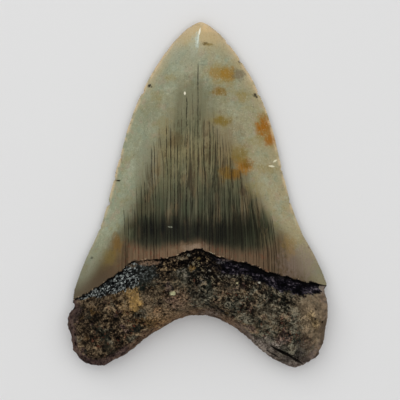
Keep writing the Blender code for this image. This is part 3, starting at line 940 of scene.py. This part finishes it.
# Painted highlights, the streak below the tip and small glints, and a few pale flecks: start, end, half width
# and colour.
HIGHLIGHTS_AND_FLECKS = [
    ((1.3, 59.6), (0.5, 55.8), 0.36, srgb(236, 234, 214)),
    ((0.7, 57.4), (0.1, 53), 0.36, srgb(204, 212, 198)),
    ((-4.7, 35.7), (-3.9, 35.7), 0.7, srgb(226, 220, 196)), ((28.6, 12.4), (27, 11.3), 0.4, CREAM),
    ((25.2, 10.1), (28, 9.8), 0.35, CREAM), ((4, -20), (6.8, -21.7), 0.24, srgb(186, 176, 148)),
    ((-10.4, -11.4), (-8.4, -11.6), 0.35, srgb(110, 112, 96)),
]


class EnamelPaint(Paint):
    """What the layers of the enamel share: facts of the mesh, noises, and where the core and strip are."""

    def __init__(self, name, dark_core):
        super().__init__(name)
        self.dark_core = dark_core
        self.foot, self.fibre = self.attribute("foot"), self.attribute("fibre")
        self.crack, self.rim = self.attribute("crack"), self.attribute("inset")
        self.cloud, self.mottle = self.noise(15, 1, 3), self.noise(3.4, 2, 4)
        self.grain = self.noise(0.5, 3, 2)
        self.threads = self.noise(0.55, 4, 4, at=self.along_fibres(0.035), roughness=0.6)
        self.bundles = self.noise(3, 5, 3, at=self.along_fibres(0.12))
        self.tint = self.noise(4, 17, 4, at=self.vector(self.x, 0.4 * self.y, 0), roughness=0.6)
        self.depth = self.attribute("core") + (9 * self.threads + 14 * self.bundles - 11.5)
        self.sides = self.step(self.fibre, -30, -21) * self.step(self.fibre, 34, 25)
        self.inside = self.step(self.depth, -9, 12) * self.sides * dark_core
        self.over_strip = self.attribute("band") + (2.6 * self.bundles + 2 * self.threads - 2.3)
        between = self.step(self.fibre, -35, -19) * self.step(self.fibre, 38, 22)
        self.strip = self.step(self.over_strip, 3, -1.6) * between * dark_core

    def along_fibres(self, stretch, layer=0):
        """Coordinates that follow the fibres. The smaller the stretch, the longer a noise's features."""
        return self.vector(self.fibre, stretch * self.y, layer)


def margin_colour(p):
    """Cool grey-green, warmer to the right, tan at the tip and brown at the foot."""
    warm = p.math("MULTIPLY_ADD", p.cloud, 1.6, 0.022 * p.x - 0.55, clamp=True)
    colour = p.mix(warm, srgb(144, 148, 122), srgb(160, 148, 113))
    for seed, (shade, size, amount) in enumerate(MOTTLES, 60):
        colour = p.over(colour, shade, p.step(p.noise(size, seed, 4, roughness=0.6), 0.5, 0.68), amount)
    colour = p.over(colour, srgb(197, 173, 129), p.step(p.y, 48, 61), 0.9)
    colour = p.over(colour, srgb(196, 176, 138), p.step(p.rim, 4.5, 0.3), p.step(p.y, 24, 46), 0.6)
    colour = p.over(colour, srgb(114, 110, 90), p.step(14 * p.cloud + p.y, -6, -20), 0.65)
    # Brown seeps up from the foot, more beside the core than at the edges.
    seep = 10 * p.cloud + p.foot - 5
    high, low = p.step(seep, 19, 10), p.step(seep, 12, 1)
    colour = p.over(colour, srgb(96, 84, 56), high, p.step(p.rim, 2.5, 8), p.step(p.x, 60, 22))
    colour = p.over(colour, srgb(72, 56, 40), low, p.step(p.rim, 1, 8), p.step(p.x, 56, 24))
    return p.over(colour, srgb(86, 74, 58), p.step(seep, 9, 0), p.step(p.x, -22, -36), 0.85)


def core_colour(p):
    """Darker towards the foot, with fine threads, pinkish and greenish tints and a brown upper edge."""
    colour = p.ramp(0.0125 * p.y + 0.5, (0.36, srgb(56, 56, 39)), (0.48, srgb(75, 74, 54)),
                    (0.57, srgb(102, 99, 72)), (0.68, srgb(127, 118, 84)), (0.88, srgb(117, 117, 91)))
    colour = p.over(colour, srgb(118, 96, 68), p.step(p.tint, 0.5, 0.62), 0.4)
    colour = p.over(colour, srgb(64, 74, 54), p.step(p.tint, 0.5, 0.38), 0.4)
    colour = p.over(colour, srgb(118, 102, 76), p.step(p.depth, 12, 2), 0.35)
    low_down = p.step(p.y, 22, 6)
    colour = p.over(colour, srgb(128, 124, 100), p.step(p.threads, 0.52, 0.66), 0.16 * low_down + 0.22)
    return p.over(colour, srgb(44, 45, 31), p.step(p.threads, 0.48, 0.34), 0.3 * low_down + 0.28)


def strip_colour(p):
    """The pinkish-brown strip between the dark band and the foot, reddish beside its cracks."""
    colour = p.mix(p.step(p.threads, 0.36, 0.5), srgb(76, 57, 40), srgb(112, 90, 68))
    colour = p.over(colour, srgb(122, 72, 48), p.step(p.noise(1.8, 16, 3), 0.56, 0.7), 0.5)
    colour = p.over(colour, srgb(66, 52, 38), p.step(p.x, -4, 8), 0.28)
    red = p.step(p.crack, 0.4, 0.15) * p.step(p.noise(2, 18, 3), 0.46, 0.58) * p.step(p.x, 24, 10)
    return p.over(colour, srgb(108, 56, 38), red, 0.5)


def with_dark_band(p, colour):
    """The dark band across the crown's base."""
    shade = p.mix(p.step(p.threads, 0.4, 0.62), srgb(1, 2, 1), srgb(31, 32, 20))
    shade = p.over(shade, srgb(52, 44, 30), p.step(p.tint, 0.52, 0.66), 0.3)
    faded = 0.7 - 0.6 * p.blob((2, -15), (15, 6), 0.4, 4, 57, 0.5)
    shade = p.over(shade, srgb(58, 58, 42), p.step(5 * p.bundles + p.y, -10, -16.5), faded)
    below_top = p.step(4 * p.bundles + 3 * p.threads + p.y, -1.3, -8.3)
    ends = p.step(p.x, -26.5, -18) * p.step(p.x, 29, 13)
    band = p.step(p.over_strip, -2.6, 2.6) * below_top * ends * p.dark_core
    return p.over(colour, shade, band, 0.95)


def with_stains_and_highlights(p, colour, stains_and_highlights):
    """Stains streaked along the fibres, some with a yellow halo, then painted highlights and a few pale
    flecks.
    """
    streaks = 0.35 * p.step(p.threads, 0.36, 0.56) + 0.65
    for index, (x, y, wide, tall, shade, amount) in enumerate(stains_and_highlights):
        if shade in HALO_STRENGTH:
            halo = p.blob((x, y), (1.8 * wide, 1.7 * tall), 1.1, 2.6, 40 + index, 0.5)
            colour = p.over(colour, YELLOW, halo, HALO_STRENGTH[shade] * amount)
        spread = p.blob((x, y), (1.25 * wide, 1.15 * tall), 1.1, min(1.8, 1.2 * wide), 7 + index, 0.45)
        colour = p.over(colour, shade, spread, streaks, amount)
    # Painted highlights and a few pale flecks.
    for seed, (start, end, half_width, shade) in enumerate(HIGHLIGHTS_AND_FLECKS, 70):
        colour = p.over(colour, shade, p.stroke(start, end, half_width, seed), p.dark_core)
    return colour


def with_rim(p, colour):
    """A thin, broken cream line along the cutting edges, with dark ticks of painted shade in the serrations.
    """
    line = p.step(p.rim, 1.5, 0.2) * p.step(p.noise(3, 6, 3), 0.36, 0.56) * p.step(p.y, -30, 10)
    colour = p.over(colour, srgb(214, 190, 152), line, 0.8)
    # Painted shade: dark ticks where the serrations would be shaded.
    ticks = p.step(p.noise(1, 12, 2), 0.63, 0.72)
    return p.over(colour, srgb(70, 52, 36), p.step(p.rim, 1.1, 0.3), ticks, 0.8)


def hairlines(p, size, seed, layer, half_width, softest):
    """1 on fine lines along the fibres, and 0 between them."""
    ridges = p.noise(size, seed, 1, at=p.along_fibres(0.03, layer))
    return p.step(abs(ridges - 0.5), half_width, softest)


def with_cracks(p, colour, line):
    """Dark hairlines in the core, brown ones above it, and the cracks themselves."""
    broken = p.noise(2.2, 21, 3, at=p.along_fibres(0.25, 5), roughness=0.7)
    hairs = hairlines(p, 1.5, 14, 3, 0.056, 0.018) * p.step(broken, 0.36, 0.54) * p.step(p.y, 38, 12)
    hairs = hairs * p.step(p.depth, 0, 16) * p.sides * p.dark_core
    colour = p.over(colour, srgb(26, 24, 14), hairs, 0.75 - 0.55 * p.strip)
    hairs = hairlines(p, 0.9, 24, 7, 0.06, 0.015) * p.step(p.noise(3, 26, 3, roughness=0.7), 0.42, 0.56)
    hairs = hairs * p.step(p.y, 34, 26) * p.step(p.y, -4, 10)
    colour = p.over(colour, srgb(64, 46, 26), hairs, p.step(p.depth, -2, 8), p.sides, p.dark_core, 0.55)
    return p.over(colour, srgb(14, 11, 7), line, 0.95)


def with_foot_and_grains(p, colour):
    """The ragged dark line at the enamel's foot, painted glints along it, and fine grains everywhere."""
    jagged = 3.4 * p.noise(1.8, 31, 5, roughness=0.75) + p.foot - 1.7
    thin = 1 - 0.8 * p.blob((11, -22), (5, 4), 0.4, 2, 58, 0.5)
    colour = p.over(colour, srgb(14, 11, 9), p.step(jagged, 0.3, 0), p.step(p.foot, 2.4, 1.2), thin)
    # Painted highlight: pale glints along the enamel's foot.
    chips_and_glints = p.step(p.noise(1, 15, 2), 0.56, 0.64)
    colour = p.over(colour, srgb(164, 142, 114), p.step(p.foot, 0.6, 0.1), chips_and_glints, 0.8)
    colour = p.over(colour, srgb(54, 50, 36), p.step(p.grain, 0.55, 0.72), 0.28)
    pale_grains = p.step(p.grain, 0.44, 0.28) * p.step(p.inside, 0.3, 0) * p.step(p.foot, 6, 16)
    return p.over(colour, srgb(196, 192, 166), pale_grains, 0.3)


def enamel(name, stains_and_highlights, dark_core):
    """The enamel of one side. Its core, band and strip are as strong as dark_core says."""
    p = EnamelPaint(name, dark_core)
    broken = 0.7 * p.step(p.noise(2.6, 9, 4, roughness=0.7), 0.32, 0.6) + 0.3
    line = p.step(p.crack, 0.2, 0.05) * p.step(p.attribute("strength"), 0, 0.5) * broken
    colour = p.mix(p.inside, margin_colour(p), core_colour(p))
    colour = p.over(colour, strip_colour(p), p.strip, 0.9)
    colour = with_dark_band(p, colour)
    colour = with_stains_and_highlights(p, colour, stains_and_highlights)
    colour = with_rim(p, colour)
    colour = with_cracks(p, colour, line)
    p.put(with_foot_and_grains(p, colour), p.shader.inputs["Base Color"])

    dull = 0.1 * p.inside + 0.2 * p.mottle + 0.16
    p.put(p.math("MULTIPLY_ADD", line, 0.3, dull, clamp=True), p.shader.inputs["Roughness"])
    p.shader.inputs["Specular IOR Level"].default_value = 0.06
    relief = p.bump(p.threads, 0.1, 0.5)
    relief = p.bump(p.mottle, 0.2, 0.3, relief)
    p.put(p.bump(p.grain, 0.03, 0.5, relief), p.shader.inputs["Normal"])
    return p.material


# ---- The root's bone ---------------------------------------------------------------------------------

GOLD, TAN, PALE = srgb(184, 148, 90), srgb(142, 124, 100), srgb(190, 164, 122)
# Patches on the root's upper side: x, y, half width, half height, colour and strength.
ROOT_PATCHES = [
    (-21.4, -38.2, 2, 3, GOLD, 1), (-23.2, -34, 2.4, 1.5, GOLD, 0.8),
    (-15.6, -44.6, 5, 2, srgb(150, 112, 62), 0.5), (-18, -36.4, 1.8, 1.4, TAN, 0.8),
    (-13.8, -40.8, 1.6, 1.4, srgb(168, 124, 86), 0.9), (-1.8, -25.8, 1.2, 1.2, GOLD, 0.7),
    (9, -33.4, 3, 1.8, TAN, 0.5), (42.2, -45, 5.4, 11, srgb(146, 124, 98), 0.8),
    (38.8, -43.4, 3, 4.8, srgb(178, 156, 124), 0.75), (-11.4, -42.4, 4.6, 2.6, srgb(184, 148, 108), 0.7),
    (-6, -37, 4, 3, srgb(158, 124, 100), 0.45), (4.6, -42.4, 4, 2, srgb(140, 130, 124), 0.5),
    (-43.6, -31.6, 2.4, 2, srgb(116, 96, 80), 0.6), (-25, -38.6, 2.4, 4, srgb(150, 118, 72), 0.4),
    (38, -38.6, 5, 3, TAN, 0.6), (-9, -40, 9, 3, TAN, 0.45), (25, -42, 5, 4, TAN, 0.25),
    (40.2, -42.8, 1.3, 1.6, PALE, 0.7), (42, -46, 1.4, 1.8, PALE, 1),
    (23, -54, 6.6, 3.2, srgb(172, 160, 148), 0.95), (31.5, -59, 6.5, 2.1, srgb(128, 119, 110), 0.9),
    (38, -55, 4, 4, srgb(62, 50, 56), 0.5),
]
# Lighter and darker areas there: x, y, half width, half height and how much.
ROOT_SHADES = [
    (27, -50, 14, 9, 0.04), (43, -44, 5, 12, 0.09), (-17, -38, 9, 6, 0.035), (-3, -39.5, 9, 3.5, 0.03),
    (-33, -50, 12, 8, -0.03), (4.5, -26.5, 8, 7, -0.06), (2, -28.6, 4, 4, -0.08),
    (-2, -25.8, 5, 3.4, -0.065), (-14.5, -27, 5, 3.5, -0.05), (-43.5, -50, 5, 6.5, 0.06),
    (38.5, -43, 5, 6, 0.09), (24, -54, 7, 3, 0.07), (-11, -43, 4, 3, 0.05), (10, -43, 5, 4, -0.055),
    (7, -31, 6, 3, -0.025), (31, -31.5, 6, 3, -0.03), (31, -38.5, 4, 5, -0.05), (8, -37.5, 8, 3, 0.025),
    (-5, -32, 5, 3, 0.03), (16, -28, 5, 2, 0.04), (-10, -42, 6, 3, 0.03), (20, -36, 10, 5, 0.05),
    (43, -36, 5, 4, 0.05),
]
# The crack behind the flake at the right lobe's base, painted black as the shadow in its gap: start, end and
# half width of its three strokes.
SHADOWED_ROOT_CRACKS = [
    ((25.4, -53.2), (32.4, -57), 0.75), ((31.2, -56.2), (38.2, -60.6), 0.6),
    ((24.2, -55), (30, -58.4), 0.3),
]
# Brown chips of bone on the bourlette, below the enamel: x, y, half width, half height, colour and strength.
FOOT_CHIPS = [
    (-17, -24.2, 4.4, 1, srgb(136, 110, 88), 0.8), (-23, -25.2, 1.6, 0.8, srgb(120, 104, 84), 0.6),
    (-5.4, -22.4, 2.2, 0.8, srgb(130, 116, 94), 0.75), (10.4, -23, 2.4, 0.6, srgb(104, 92, 86), 0.6),
    (-8.6, -22.9, 1.2, 0.5, srgb(134, 112, 88), 0.35), (-2.8, -21.4, 0.7, 0.5, srgb(150, 144, 126), 0.8),
    (0.6, -22.6, 0.8, 0.6, srgb(130, 110, 70), 0.5), (8.4, -24, 1.8, 0.5, srgb(96, 92, 92), 0.6),
]
# Single pale specks: x, y, half width and colour.
PALE_SPECKS = [
    (21.9, -31, 0.55, srgb(226, 220, 200)), (-8.4, -34.6, 1.1, srgb(206, 204, 160)),
    (39.3, -33.3, 0.45, srgb(150, 152, 160)), (14.1, -31.1, 0.5, srgb(190, 180, 140)),
    (22.1, -26.4, 0.5, srgb(120, 124, 140)), (-13.2, -47, 0.5, srgb(150, 130, 96)),
]


class BonePaint(Paint):
    """What the layers of the root share: facts of the mesh, noises and the bone's fine pattern."""

    def __init__(self, name):
        super().__init__(name)
        self.foot, self.lingual = self.attribute("foot"), self.attribute("lingual")
        self.patch, self.hue = self.noise(4.2, 2, 3), self.noise(6, 6, 4, roughness=0.6)
        self.speck, self.grain = self.noise(1.3, 3, 4, roughness=0.7), self.noise(0.55, 4, 3, roughness=0.75)
        clumps = 0.3 * self.noise(2.6, 12, 3, distortion=0.6) + 0.3 * self.patch - 0.88
        fine = 0.55 * self.speck + 0.65 * self.grain + clumps
        fine = fine * (1.2 - 0.25 * self.step(self.x, -24, -34)) + 0.51
        fine = self.step(self.x, 34, 42) * (0.28 - 0.5 * fine) + fine
        for seed, (x, y, wide, tall, amount) in enumerate(ROOT_SHADES, 30):
            fine = self.blob((x, y), (wide, tall), 0.5, 5, seed, 0.5) * amount + fine
        self.fine = fine


def bone_colour(p):
    """Fine specks from black to tan, in brown, grey-green and purple-brown areas, murky on both sides."""
    brown = p.ramp(p.fine, (0.39, srgb(2, 1, 1)), (0.47, srgb(30, 24, 17)), (0.52, srgb(64, 52, 39)),
                   (0.57, srgb(94, 79, 60)), (0.65, srgb(150, 130, 102)))
    grey = p.ramp(p.fine, (0.39, srgb(2, 3, 2)), (0.47, srgb(30, 30, 24)), (0.53, srgb(62, 59, 48)),
                  (0.58, srgb(90, 86, 73)), (0.65, srgb(142, 136, 116)))
    purple = p.ramp(p.fine, (0.39, srgb(3, 2, 2)), (0.48, srgb(40, 31, 30)), (0.55, srgb(78, 62, 56)),
                    (0.64, srgb(144, 120, 104)))
    colour = p.mix(p.step(0.0025 * p.x + p.hue, 0.46, 0.56), brown, grey)
    colour = p.mix(p.step(p.hue, 0.42, 0.36), colour, purple)
    between_clouds = p.step(p.noise(11, 1, 3), 0.62, 0.42)
    colour = p.over(colour, srgb(140, 108, 62), p.step(p.noise(2.4, 8, 4), 0.57, 0.66), between_clouds, 0.2)
    colour = p.over(colour, srgb(36, 44, 38), p.step(p.noise(4.6, 81, 3), 0.53, 0.62), 0.45)
    reddish = p.step(p.noise(1, 82, 3), 0.58, 0.66) * p.step(p.noise(6, 83, 2), 0.44, 0.56)
    colour = p.over(colour, srgb(116, 68, 50), reddish, 0.55)
    # Painted light and shade on a rough patch: lighter on raised spots, near black in sunken ones.
    rough = p.blob((13, -34), (30, 12), 0.6, 7, 53, 0.4)
    raised_painted_light = p.step(p.noise(1.9, 73, 4, roughness=0.6, distortion=0.8), 0.53, 0.61)
    colour = p.over(colour, srgb(150, 134, 108), raised_painted_light, rough, 0.6)
    sunken_painted_shade = p.step(p.noise(1.7, 71, 3, distortion=1.2), 0.495, 0.43)
    colour = p.over(colour, srgb(5, 4, 3), sunken_painted_shade, rough, 0.85)
    murk = p.step(p.noise(6, 44, 4, roughness=0.6, distortion=0.4), 0.46, 0.62) * p.step(p.x, 40, 32)
    colour = p.over(colour, srgb(16, 14, 10), murk, p.step(p.x, -4, -22), 0.4)
    return p.over(colour, srgb(18, 17, 15), murk, p.step(p.x, -22, -4), 0.35)


def with_gloom(p, colour):
    """The black middle below the bourlette, with pale chips in it."""
    below_foot = p.foot + 16 * p.noise(3, 13, 4, roughness=0.65) - 8
    gloom = p.step(below_foot, -9.5, -5) * p.step(p.x, -8, 2) * p.step(p.x, 30, 12)
    gloom = gloom * p.step(p.fine, 0.66, 0.54) * p.lingual
    colour = p.over(colour, srgb(6, 5, 6), gloom, 0.85)
    chips_and_glints = p.step(p.noise(1.1, 52, 4, roughness=0.7), 0.54, 0.6)
    chips_and_glints = chips_and_glints * p.blob((3, -26.5), (15, 6), 0.6, 4, 51, 0.5)
    shade = p.mix(p.step(p.hue, 0.42, 0.56), srgb(158, 144, 112), srgb(140, 132, 118))
    return p.over(colour, shade, chips_and_glints, p.lingual, 0.65)


def with_outline_band(p, colour):
    """Along the root's base and sides: smoother, purple-brown to warm brown, greyer on the right."""
    shade = p.mix(p.step(30 * p.hue + p.x, -16, 0), srgb(82, 65, 62), srgb(120, 94, 72))
    shade = p.mix(p.step(p.x, 8, 22), shade, srgb(124, 110, 102))
    shade = p.over(shade, srgb(30, 23, 19), p.step(p.fine, 0.52, 0.42), 0.65)
    shade = p.over(shade, srgb(146, 124, 100), p.step(p.grain, 0.55, 0.7), 0.5)
    return p.over(colour, shade, p.step(4 * p.patch + p.attribute("inset"), 5.4, 3.2), 0.85)


def with_patches(p, colour):
    """The root's patches, with dark grains in them, and its single pale specks."""
    dark_grains = p.step(p.grain, 0.62, 0.42)
    in_light = p.step(p.fine, 0.42, 0.5)
    for seed, (x, y, wide, tall, shade, amount) in enumerate(ROOT_PATCHES, 20):
        spread = p.blob((x, y), (1.2 * wide, 1.2 * tall), 1.1, 1.1, seed, 0.45)
        far_right = wide > 4 and x > 36
        darkness = 0.4 if shade == GOLD or far_right else 0.85
        speckled = p.over(shade, srgb(46, 34, 20), dark_grains, darkness)
        colour = p.over(colour, speckled, spread, in_light, p.lingual, amount)
    for x, y, size, shade in PALE_SPECKS:
        colour = p.over(colour, shade, p.blob((x, y), (size, 0.8 * size), 0.7, 0.7, x, 0.3), p.lingual)
    return colour


def bourlette_colour(p):
    """Granular blue-grey on the left, black in the middle, smooth blue-black on the right with painted
    highlight streaks along the foot.
    """
    flecks = p.noise(0.8, 7, 3, roughness=0.7)
    left = p.ramp(0.7 * flecks + 0.3 * p.grain, (0.455, srgb(2, 3, 4)), (0.495, srgb(32, 34, 34)),
                  (0.535, srgb(80, 84, 82)), (0.59, srgb(176, 182, 178)))
    left = p.over(left, srgb(34, 36, 32), p.step(12 * p.patch + p.x, -18, -12), 0.8)
    middle = p.ramp(p.fine, (0.46, srgb(3, 2, 2)), (0.54, srgb(24, 20, 16)), (0.61, srgb(84, 70, 52)),
                    (0.67, srgb(150, 128, 96)))
    # Painted highlights: lighter streaks along the foot on the right part.
    along_foot = p.noise(1.3, 27, 4, at=p.vector(0.4 * p.x, p.foot, 2), roughness=0.7)
    right = p.ramp(0.6 * along_foot + 0.15 * p.grain + 0.25 * p.fine, (0.45, srgb(1, 1, 2)),
                   (0.51, srgb(9, 8, 12)), (0.565, srgb(36, 32, 40)), (0.62, srgb(106, 98, 102)))
    right = p.over(right, srgb(3, 3, 4), p.blob((25.4, -26.8), (5, 3.2), 0.6, 2, 59, 0.5), 0.85)
    colour = p.mix(p.step(8 * p.patch + p.x, -12.5, -8.5), left, middle)
    return p.mix(p.step(p.x, 2, 9), colour, right)


def with_gaps(p, colour):
    """Painted shade in the pits and deeper hollows, painted shadow in the crevice below the enamel and behind
    the flake, the chips over it, and the painted shadow of the crack behind the flake.
    """
    # Painted shade: black in the pits, and darker where the bone's relief is cut deepest.
    colour = p.over(colour, srgb(8, 6, 5), p.step(p.attribute("pits"), 0.15, 0.7), 0.85)
    colour = p.over(colour, srgb(12, 9, 7), p.step(p.attribute("relief"), 0.45, 0.85), 0.5)
    # Painted shadow: black in the crevice below the enamel's overhanging foot and in the seam behind the
    # flake.
    gap = p.foot + 3.2 * p.patch - 1.6 - 0.5 * p.step(p.x, -14, -24)
    seam = p.step(p.attribute("seam"), 0.35, 0.8)
    crevice_shadow = p.math("MAXIMUM", seam, p.step(gap, -1.7, -0.7) * p.lingual)
    colour = p.over(colour, srgb(6, 5, 5), crevice_shadow, 0.9)
    for seed, (x, y, wide, tall, shade, amount) in enumerate(FOOT_CHIPS, 90):
        chip = p.blob((x, y), (wide, tall), 1, 1.2, seed, 0.4) * p.step(p.grain, 0.4, 0.52)
        colour = p.over(colour, shade, chip, p.lingual, amount)
    # Painted shadow along the crack behind the flake.
    for seed, (start, end, half_width) in enumerate(SHADOWED_ROOT_CRACKS, 60):
        colour = p.over(colour, srgb(8, 6, 5), p.stroke(start, end, half_width, seed), p.lingual, 0.9)
    return colour


def root_bone():
    """The root: mottled brown, tan and black bone, and the dark bourlette below the enamel."""
    p = BonePaint("root_bone")
    colour = with_patches(p, with_outline_band(p, with_gloom(p, bone_colour(p))))
    ragged = p.attribute("bourlette") + 0.8 * p.patch + 0.9 * p.speck - 0.85
    bourlette = p.step(ragged, 0.42, 0.6)
    colour = with_gaps(p, p.mix(bourlette, colour, bourlette_colour(p)))
    p.put(colour, p.shader.inputs["Base Color"])

    smooth = bourlette * p.step(p.x, -6, 10)
    p.put(0.3 * p.grain + 0.5 - 0.3 * smooth, p.shader.inputs["Roughness"])
    p.shader.inputs["Specular IOR Level"].default_value = 0.02
    relief = p.bump(p.speck, 0.8, 0.75)
    relief = p.bump(p.grain, 0.35, 0.75, relief)
    p.put(p.bump(p.noise(0.28, 5, 2), 0.08, 0.5, relief), p.shader.inputs["Normal"])
    return p.material


# ---- Stage -------------------------------------------------------------------------------------------

PHOTO_CENTRE = (1.07, -2.05)  # where the picture's centre falls on the tooth
FRAME_WIDTH = 142.4
LENS, SENSOR = 200.0, 36.0
OUTLINE_HEIGHT = 5.0  # the frame's width is right at this height, where most of the outline lies
FLOOR_SIZE, FLOOR_GAP = 6.0, 0.0001  # in metres; the floor lies this little below the tooth
ROOM_LIGHT = 0.48
LIGHT_SIZE, LIGHT_DISTANCE = 0.9, 0.9
LIGHTS = [(-40, 54, 2.1), (60, 68, 1.6), (-170, 80, 1.65)]  # azimuth, elevation and watts


def make_stage():
    floor_mesh = bpy.data.meshes.new("floor")
    half = FLOOR_SIZE / 2
    corners = [(-half, -half, 0), (half, -half, 0), (half, half, 0), (-half, half, 0)]
    floor_mesh.from_pydata(corners, [], [(0, 1, 2, 3)])
    p = Paint("floor_paper")
    p.put(srgb(226, 226, 226), p.shader.inputs["Base Color"])
    p.shader.inputs["Roughness"].default_value = 0.95
    floor_mesh.materials.append(p.material)
    floor = bpy.data.objects.new("floor", floor_mesh)
    floor.location.z = -FLOOR_GAP
    bpy.context.scene.collection.objects.link(floor)

    world = bpy.data.worlds.new("soft_room")
    world.use_nodes = True
    background = world.node_tree.nodes["Background"]
    background.inputs["Color"].default_value = (1.0, 1.0, 1.0, 1.0)
    background.inputs["Strength"].default_value = ROOM_LIGHT
    bpy.context.scene.world = world
    bpy.context.scene.view_settings.view_transform = "Standard"


def add_light(azimuth, elevation, power):
    """A soft light round the tooth. Azimuth 0 is at the tip's side and 90 at the right."""
    light = bpy.data.lights.new("softbox", "AREA")
    light.shape, light.size, light.energy = "DISK", LIGHT_SIZE, power
    lamp = bpy.data.objects.new("softbox", light)
    turn, height = math.radians(azimuth), math.radians(elevation)
    away = Vector((math.cos(height) * math.sin(turn), math.cos(height) * math.cos(turn), math.sin(height)))
    lamp.location = LIGHT_DISTANCE * away
    lamp.rotation_mode = "QUATERNION"
    lamp.rotation_quaternion = away.to_track_quat("Z", "Y")
    bpy.context.scene.collection.objects.link(lamp)


def add_camera():
    camera = bpy.data.objects.new("camera", bpy.data.cameras.new("camera"))
    camera.data.lens, camera.data.sensor_width = LENS, SENSOR
    distance = FRAME_WIDTH * LENS / SENSOR + OUTLINE_HEIGHT
    centre = np.array(PHOTO_CENTRE) - MIDDLE
    camera.location = (centre[0] * MM, centre[1] * MM, distance * MM)
    bpy.context.scene.collection.objects.link(camera)
    bpy.context.scene.camera = camera


make_tooth()
make_stage()
for azimuth, elevation, power in LIGHTS:
    add_light(azimuth, elevation, power)
add_camera()
